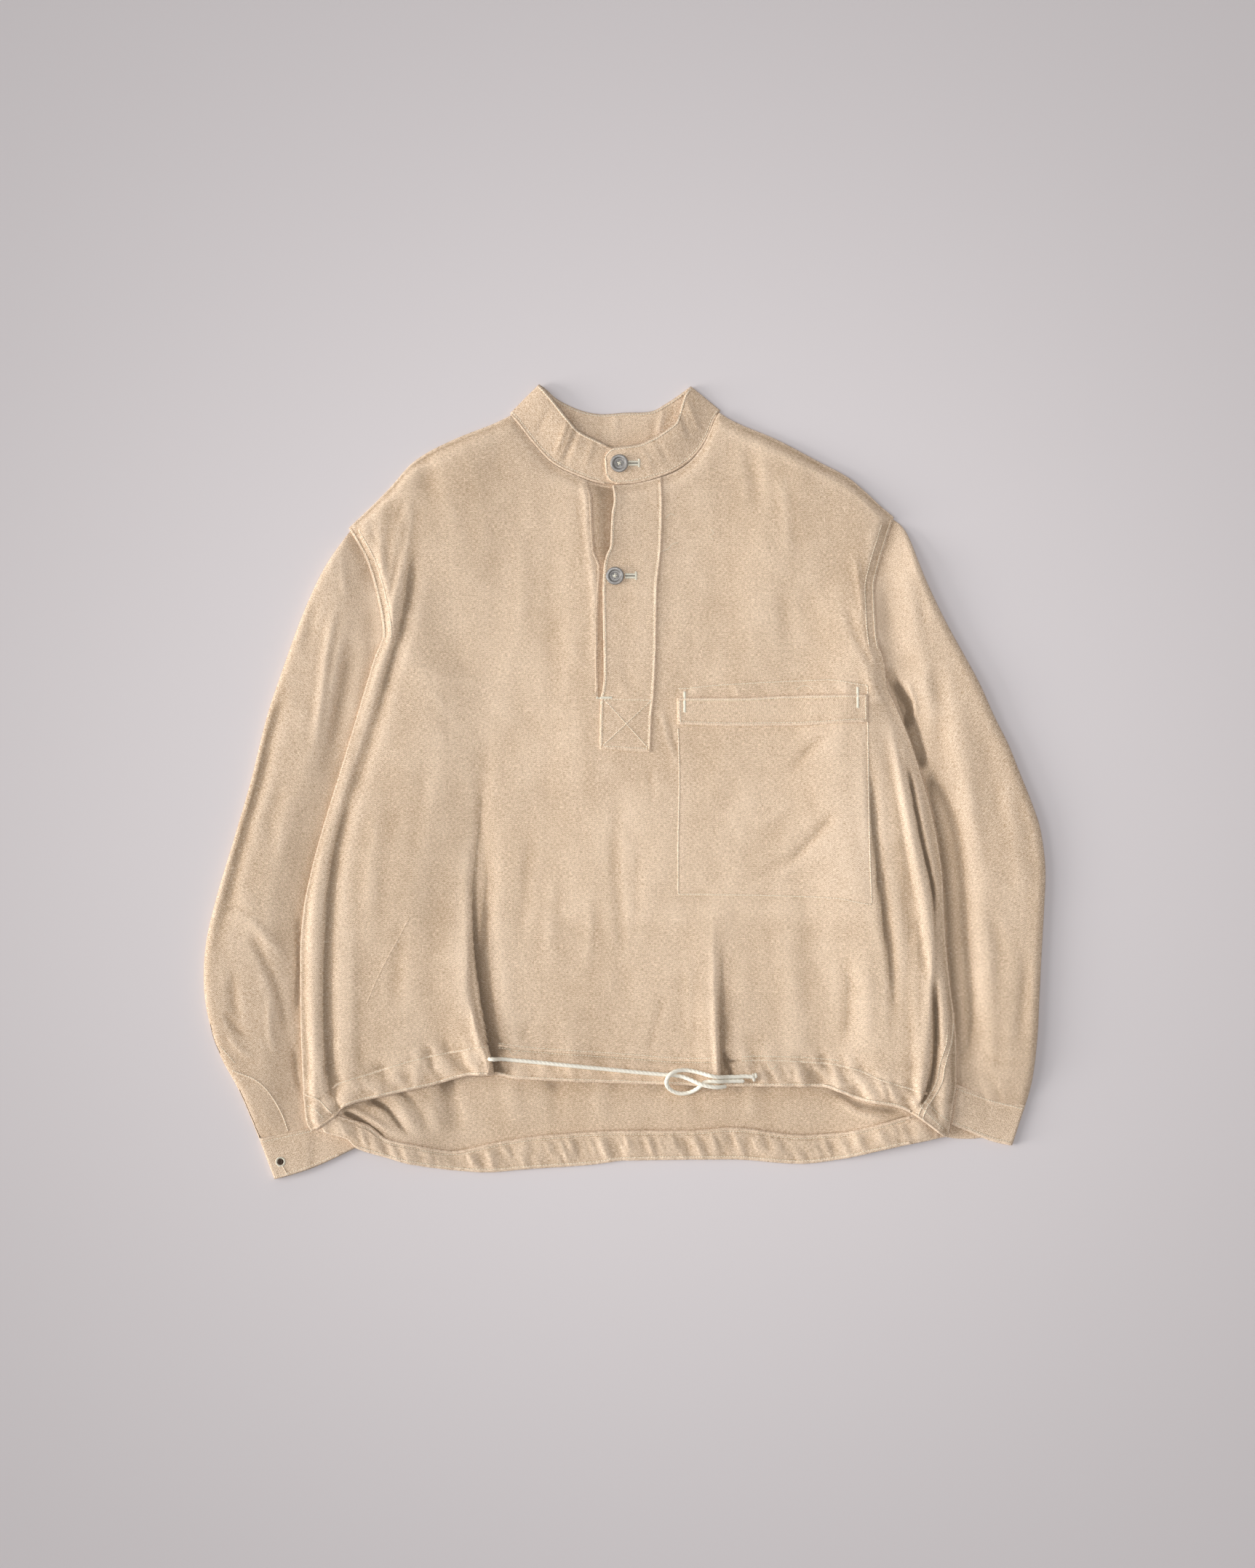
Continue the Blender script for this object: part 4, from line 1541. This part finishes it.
def placket_top(x, y):
    """The placket's upper side: the front's, and one cloth more, lifted along its free edge."""
    edge = x - PLACKET_EDGE(y)
    free = ease((y - 82) / 20)
    lift = free * np.exp(-np.clip(edge, 0, None) / 9) * (1.0 + 2.4 * ease((y - 185) / 30))
    dips = (line_dip(PLACKET_SEAM(y) - 2.5 - x, 0.35) + line_dip(edge - 2.5, 0.3)
            + line_dip(y - PLACKET_BOTTOM(x) - 2.5, 0.35)
            + line_dip(y - 77, 0.35) * ease((90 - y) / 4))
    edges = 0.5 * np.exp(-((PLACKET_SEAM(y) - x) / 1.6) ** 2)
    return front_top(x, y) + LAID + 0.9 + lift + dips + edges + 0.25 * puckers(y, x, 31, 11)


class SMOCK_OT_placket(Operator):
    """Lay the button stand in the opening and the placket over it"""
    bl_idname = "smock.placket"
    bl_label = "Placket"

    def execute(self, context):
        rows = ((FRONT_TOP, 100), (WELT_TOP, 26), (PLACKET_BOTTOM, 0))
        x, y, _, _ = lattice(((PLACKET_EDGE, 26), (PLACKET_SEAM, 0)), rows)
        top = placket_top(x, y)
        low = np.maximum(front_top(x, y) + 0.08, top - 1.4)
        placket = linen_sheet("placket_lap", x, y, top, low, 0, 31.0)
        own(placket, "placket")
        seams = seam_rolls("placket_seams", ["placket_lap"], (
            (along_y(PLACKET_EDGE, 276, 32, 1.1), 2.2, .6, 1.3),
            (along_y(PLACKET_SEAM, 280, 30, -1.1), 2.2, .6, 1.2),
            (((-21.5, 32.3), (0, 31), (23, 29.6)), 2.2, .5, 1.2),
            (((-20, 77.6), (3, 77.3), (26, 77)), 1.8, .3, .7),
            (((-19, 76), (1, 55), (21.5, 32)), 1.6, .25, .6),
            (((24, 76), (2, 55), (-20, 34)), 1.6, .25, .6)), 0, 31.0)

        columns = ((lambda y: OPENING_EDGE(y) - 16, 16), (lambda y: PLACKET_EDGE(y) + 3, 14),
                   (lambda y: PLACKET_SEAM(y) - 12, 0))
        x, y, _, _ = lattice(columns, ((FRONT_TOP, 90), (WELT_TOP, 0)))
        slope = ease((x - OPENING_EDGE(y)) / 12)
        top = np.maximum(front_top(x, y) - 1.3 - 1.6 * slope, back_top(x, y) + 0.75)
        stand = linen_sheet("button_stand_strip", x, y, top, top - 0.6, 0, 47.0,
                            wear=-0.5 - 0.75 * slope)
        own(stand, "button_stand")
        return {"FINISHED"}


def welt_top(x, y):
    """The welt's upper side: the front's smoothed under it, one cloth more, with turned edges
    and the small gathers of its stitching."""
    to_top, to_bottom = WELT_TOP(x) - y, y - WELT_BOTTOM(x)
    edges = 0.5 * np.exp(-(to_top / 1.8) ** 2) + 0.6 * np.exp(-(to_bottom / 1.8) ** 2)
    dips = line_dip(to_bottom - 3, 0.3) + line_dip(x - 56, 0.3) + line_dip(217 - x, 0.3)
    return (front_top(x, y) + LAID + 1.0 + edges + dips + 0.3 * puckers(x, y, 33, 12)
            + 0.5 * ease(1 - to_top / 8) * (0.4 + 0.6 * hills(x, y, 24, 90, 35)))


class SMOCK_OT_pocket(Operator):
    """Lay the pocket's bag inside the front and its welt on it"""
    bl_idname = "smock.pocket"
    bl_label = "Pocket"

    def execute(self, context):
        columns = ((POCKET_RIGHT_END, 90), (POCKET_LEFT_END, 0))
        x, y, _, _ = lattice(columns, ((WELT_TOP, 16), (WELT_BOTTOM, 0)))
        top = welt_top(x, y)
        low = np.maximum(front_top(x, y) + 0.08, top - 1.5)
        welt = linen_sheet("pocket_welt_band", x, y, top, low, math.pi / 2, 13.0)
        own(welt, "pocket_welt")
        seams = seam_rolls("welt_seams", ["pocket_welt_band"], (
            (along_x(WELT_TOP, 49, 225, -1.1), 2.3, .6, 1.3),
            (along_x(WELT_BOTTOM, 50, 223, 1.1), 2.3, .6, 1.3),
            (along_y(POCKET_RIGHT_END, 77, 55, 1.3), 2.0, .4, .8),
            (along_y(POCKET_LEFT_END, 80, 57, -1.3), 2.0, .4, .8)), math.pi / 2, 13.0)

        columns = ((POCKET_RIGHT_END, 40), (POCKET_LEFT_END, 0))
        x, y, _, _ = lattice(columns, ((POCKET_TOP, 46), (POCKET_BOTTOM, 0)))
        top = front_top(x, y) - 1.35
        bag = linen_sheet("pocket_bag_lining", x, y, top, top - 0.6, 0, 21.0)
        own(bag, "pocket_bag")
        return {"FINISHED"}


BUTTON_PROFILE = guide("0,1.75 2.6,1.7 4.2,1.35 4.9,1.45 5.5,2.5 6.3,3.15 7.2,3.2 8.0,2.7 8.5,1.6")
# The profile's own radius, and how far the holes' middles are from the button's.
BUTTON_PROFILE_RADIUS, BUTTON_HOLE_OUT = 8.5, 1.9


class SMOCK_OT_buttons(Operator):
    """Sew on the two buttons, with their crossed threads"""
    bl_idname = "smock.buttons"
    bl_label = "Buttons"

    def execute(self, context):
        radius = context.scene.smock_button.diameter / MM / 2
        seat = on_pieces("placket_lap", "collar_band")
        for name, turn in (("collar", 0.3), ("placket", 0.9)):
            low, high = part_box(f"button_{name}")
            centre = (np.array(low) + np.array(high)) / 2 / MM
            base = low[2] / MM
            rim = centre[:2] + 6 * np.array([(1, 0), (-1, 0), (0, 1), (0, -1), (0, 0)])
            base = max(base, np.nanmax(seat(rim, -0.1)[:, 2]))
            reach = np.linspace(0, 1, 26)[1:, None] * radius
            angle = np.linspace(0, math.tau, 56, endpoint=False)[None]
            hole = np.zeros((reach.size, angle.size))
            for k in range(4):
                a = turn + (k + 0.5) * math.pi / 2
                gap = np.hypot(reach * np.cos(angle) - BUTTON_HOLE_OUT * math.cos(a),
                               reach * np.sin(angle) - BUTTON_HOLE_OUT * math.sin(a))
                hole -= 1.3 * (1 - ease((gap - 0.75) / 0.4))
            face = BUTTON_PROFILE(reach * BUTTON_PROFILE_RADIUS / radius) + hole
            under = 0.25 + 1.1 * (np.array([1.0, 0.92, 0.7]) ** 3)[:, None] + 0 * angle
            rim = np.array([1.0, 0.93, 0.75])[:, None] * radius
            rings = np.concatenate([
                points_of(reach * np.cos(angle), reach * np.sin(angle), face),
                points_of(rim * np.cos(angle), rim * np.sin(angle), under)])
            points = np.concatenate([rings.reshape(-1, 3), [[0, 0, 1.45], [0, 0, 0.6]]])
            points = points + [centre[0], centre[1], base]
            disc = mesh_object(f"button_{name}_disc", points, capped_tube(rings.shape[:2]),
                               material=button_material())
            own(disc, f"button_{name}", slot="button")

            starts, ends = [], []
            for k in range(2):
                a = turn + (k + 0.5) * math.pi / 2
                way = np.array([math.cos(a), math.sin(a), 0])
                side = np.array([-math.sin(a), math.cos(a), 0])
                for offset in (-0.36, -0.12, 0.12, 0.36):
                    middle = np.array([centre[0], centre[1], base + 2.15 + 0.25 * k])
                    foot = np.array([0, 0, -0.9])
                    starts += [middle - way * 2.3 + side * offset + foot,
                               middle + side * offset - way * 0.6]
                    ends += [middle + side * offset + way * 0.6,
                             middle + way * 2.3 + side * offset + foot]
            points, faces = spindles(np.array(starts), np.array(ends), 0.26)
            own(mesh_object(f"button_{name}_threads", points, faces,
                            material=thread_material("bar")), slot="cord")
        return {"FINISHED"}


class SMOCK_OT_sewing(Operator):
    """Sew the visible rows of stitches, the bars and the buttonholes"""
    bl_idname = "smock.sewing"
    bl_label = "Sewing"

    def execute(self, context):
        front = Sewing("front_stitches", "front_panel", "front_seams")
        front.rows(
            (2, along_x(FRONT_CASING, -270, -127)), (3, along_x(FRONT_CASING, -118, 86)),
            (4, along_x(FRONT_CASING, -118, 86, 4)), (5, along_x(FRONT_CASING, 109, 278)),
            (6, along_x(FRONT_CASING, 109, 200, 4)), (15, along_x(FRONT_HEM, -262, -128, 2.2)),
            (16, along_x(FRONT_HEM, -118, 262, 2.2)), (7, along_y(RIGHT_EDGE, 234, 134, 8)),
            (17, along_y(RIGHT_EDGE, 232, 134, 1.6)), (8, along_y(LEFT_EDGE, 240, 128, -9)),
            (18, along_y(LEFT_EDGE, 242, 124, -1.6)), (9, along_y(SIDE_SEAM, -225, -322, -2)),
            (10, along_y(SIDE_SEAM, -235, -314, -7)), (19, rows_of("274,-300 284,-311 297,-323")),
            (20, rows_of("279,-297 290,-307 302,-316")),
            (71, rows_of("-297,-292 -286,-295 -276,-305 -272,-309")),
            (72, rows_of("-296,-302 -288,-305 -281,-313")), (11, along_x(POCKET_TOP, 50, 226)),
            (12, along_x(POCKET_BOTTOM, 50, 230)), (13, along_y(POCKET_LEFT_END, 90, -113)),
            (14, along_y(POCKET_RIGHT_END, 50, -105)))
        front.make()

        placket = Sewing("placket_stitches", "placket_lap", "placket_seams")
        placket.rows((21, along_y(PLACKET_SEAM, 278, 33, -2.2)),
                     (22, along_y(PLACKET_EDGE, 270, 34, 1.8)))
        placket.rows((23, rows_of("-20,33.5 22,31")), (24, rows_of("-19,77 25,76")),
                     (25, rows_of("-19,77 21.5,32")), (26, rows_of("25,76 -20,34")),
                     smooth=False)
        placket.make()

        welt = Sewing("pocket_stitches", "pocket_welt_band", "welt_seams")
        welt.rows((31, along_x(WELT_BOTTOM, 51, 223, 2.4)), (34, along_x(WELT_TOP, 58, 215, -1.6)),
                  (32, along_y(POCKET_RIGHT_END, 76, 56, 2.2)),
                  (33, along_y(POCKET_LEFT_END, 79, 58, -2.2)))
        welt.make()

        collar = Sewing("collar_stitches", "collar_band", "collar_seams")
        points = collar_grid()[0][..., :2]
        collar.rows((41, points[27:92, 1]), (42, points[27:92, 17]), (43, points[192:288, 1]),
                    (44, points[192:288, 17]), (45, points[108:176, 17]), (46, points[288, 1:18]),
                    smooth=False)
        collar.make()

        tail = Sewing("back_stitches", "back_casing", "back_seams")
        tail.rows((51, along_x(BACK_CASING, -246, 262, -3)),
                  (52, along_x(BACK_HEM, -246, 262, 2.4)))
        tail.make()

        arms = Sewing("sleeve_stitches", "sleeve_right_tube", "cuff_right_band",
                      "cuff_right_seams", "sleeve_left_tube", "cuff_left_band",
                      "cuff_left_seams")
        arms.rows(*enumerate(map(rows_of, (
            "-366,-269 -355,-273 -345,-277 -336,-284 -329,-293 -323,-303 -318,-314 -314,-326",
            "-377,-246 -363,-262", "-338,-336 -311,-330 -290,-325 -264,-314",
            "-325,-368 -313,-364.6 -290,-357 -268,-347.5", "-320,-357 -314,-367",
            "372,-305 345,-298.6 322,-291 309,-286",
            "360,-336 345,-332.6 330,-327 318,-322 306,-317")), 61))
        arms.make()

        bars = Sewing("bars_and_buttonholes", "placket_lap", "front_panel", "pocket_welt_band",
                      "collar_band", "cuff_right_band", kind="bar")
        bars.satin((-26, 78.5), (-12, 78.5), 2.2)
        bars.satin((56, 65), (56, 84), 2.4)
        bars.satin((217, 69), (217, 88), 2.4)
        holes = ((3.6, 13.4, 297.2), (0.6, 10.6, 192.0))
        for start, end, y in holes:
            for edge in (-1.35, 1.35):
                bars.satin((start, y + edge), (end - 0.8, y + edge), 2.2, pitch=0.35, lift=0.3)
            bars.satin((end, y - 3.4), (end, y + 3.8), 2.2)
        spokes = np.linspace(0, math.tau, 26, endpoint=False)
        ray = np.column_stack([np.cos(spokes), np.sin(spokes)])
        eye = np.array([-321, -354.5])
        bars.lay(bars.place(eye + 3.0 * ray, 0.1), bars.place(eye + 4.8 * ray, 0.2), 1.3)
        bars.make()

        slits = Sewing("slits", "placket_lap", "collar_band", "cuff_right_band",
                       "sleeve_right_tube", kind="slit")
        for start, end, y in holes:
            slits.row([(start, y), (end - 0.5, y)], pitch=3.0, smooth=False, size=0.9,
                      lift=0.15, gap=-0.15)
        for offset in np.arange(-2.4, 2.5, 0.4):
            half = math.sqrt(7.3 - offset ** 2)
            slits.row([eye + (-half, offset), eye + (half, offset)], pitch=6.0, smooth=False,
                      size=1.8, lift=-0.1, gap=-0.1, seed=int(offset * 10 + 100))
        for opening in ("-386,-226 -383,-240 -377,-253",
                        "-359,-287 -352,-303 -345,-320 -340,-333"):
            slits.row(rows_of(opening), pitch=3.0, gap=-0.15, lift=-0.05)
        slits.make()

        loose = Sewing("loose_threads", "front_panel", "placket_lap", "pocket_welt_band",
                       kind="bar")
        for size, route in ((0.5, "34,215,.6 40,217,1.2 45,222,1.0 50,223,.4"),
                            (0.5, "38,246,.4 43,250,.9 47,248,.4"),
                            (0.4, "80,236,.3 83,232,.7 79,229,.5 83,226,.3"),
                            (0.5, "-108,-249,.4 -104,-255,1.0 -98,-250,.4"),
                            (0.5, "133,-262,.4 137,-268,.8 142,-264,.4"),
                            (0.4, "160,86,.3 168,90,.8 176,86,.4")):
            loose.loose(rows_of(route), size)
        loose.make()
        return {"FINISHED"}


# The settings' three kinds: a length in metres, a plain number and a colour.
def metres(name, description, default, **limits):
    return FloatProperty(name=name, description=description, default=default, unit="LENGTH",
                         **limits)


def number(name, description, default, **limits):
    return FloatProperty(name=name, description=description, default=default, **limits)


def hue(name, description, default):
    return FloatVectorProperty(name=name, description=description, default=default,
                               subtype="COLOR", min=0, max=1)


class SmockCloth(PropertyGroup):
    wall: metres("Wall", "Thickness of the linen", 0.0012, min=0.0005, max=0.003)
    crease_depth: number("Crease depth", "Scale of all creases", 1.15, min=0, max=3,
                         subtype="FACTOR")
    rib_width: metres("Rib width", "Width of one herringbone column", 0.0056)
    rib_rise: metres("Rib rise", "Pitch of the zigzag's lines", 0.0019)
    colour_worn: hue("Pale yarn", "Colour of worn yarns", (0.955, 0.757, 0.574))
    colour_yarn: hue("Deep yarn", "Colour between yarns", (0.465, 0.315, 0.19))
    contrast: number("Yarn contrast", "Unevenness of the yarns", 1.0, min=0, max=2,
                     subtype="FACTOR")


class SmockThread(PropertyGroup):
    diameter: metres("Diameter", "Thickness of the sewing thread", 0.0008)
    pitch: metres("Pitch", "Length of one stitch", 0.0026)
    seam_colour: hue("Seam thread", "Thread of the seams", (1.0, 0.91, 0.73))
    bar_colour: hue("Bar thread", "Thread of bars and holes", (0.98, 0.93, 0.78))
    slit_colour: hue("Slit", "Depth of a buttonhole", (0.09, 0.06, 0.04))


class SmockCord(PropertyGroup):
    diameter: metres("Diameter", "Thickness of the drawstring", 0.004)
    twist: metres("Twist", "Length of one turn of the plies", 0.0125)
    plies: IntProperty(name="Plies", description="Number of plies", default=3, min=2, max=4)
    colour: hue("Cord", "Colour of the drawstring", (1.0, 0.94, 0.8))


class SmockButton(PropertyGroup):
    diameter: metres("Diameter", "Width of a button", 0.017)
    colour: hue("Button", "Colour of the buttons", (0.35, 0.325, 0.30))


class SmockStage(PropertyGroup):
    camera_height: metres("Camera height", "Camera above the surface", 3.0)
    view_height: metres("View height", "Length of surface in the view", 1.466)
    key_power: number("Key", "Strength of the key light", 0.95)
    side_power: number("Side", "Strength of the low side light", 2.7)
    key_softness: number("Key softness", "Spread of the key, degrees", 26.0)
    fill_power: number("Overhead", "Power of the overhead light", 112.0, unit="POWER")
    air: number("Air", "Strength of the surrounding light", 0.3)
    surface_colour: hue("Surface", "Colour of the surface", (0.73, 0.685, 0.69))


SETTINGS = {"smock_cloth": SmockCloth, "smock_thread": SmockThread, "smock_cord": SmockCord,
            "smock_button": SmockButton, "smock_stage": SmockStage}
STEPS = (SMOCK_OT_stage, SMOCK_OT_drawstring, SMOCK_OT_sleeves, SMOCK_OT_cuffs, SMOCK_OT_back,
         SMOCK_OT_front, SMOCK_OT_collar, SMOCK_OT_placket, SMOCK_OT_pocket, SMOCK_OT_buttons,
         SMOCK_OT_sewing)


class SMOCK_PT_pieces(Panel):
    """The smock's settings and the steps that make it"""
    bl_idname = "SMOCK_PT_pieces"
    bl_label = "Work smock"
    bl_space_type = "VIEW_3D"
    bl_region_type = "UI"
    bl_category = "Smock"

    def draw(self, context):
        for name, group in SETTINGS.items():
            box = self.layout.box()
            for field in group.__annotations__:
                box.prop(getattr(context.scene, name), field)
        for step in STEPS:
            self.layout.operator(step.bl_idname)


CLASSES = (*SETTINGS.values(), *STEPS, SMOCK_PT_pieces)


def register():
    for cls in CLASSES:
        bpy.utils.register_class(cls)
    for name, group in SETTINGS.items():
        setattr(bpy.types.Scene, name, PointerProperty(type=group))


def unregister():
    for name in SETTINGS:
        delattr(bpy.types.Scene, name)
    for cls in reversed(CLASSES):
        bpy.utils.unregister_class(cls)


def main():
    register()
    for step in STEPS:
        group, name = step.bl_idname.split(".")
        getattr(getattr(bpy.ops, group), name)()


if __name__ == "__main__":
    main()
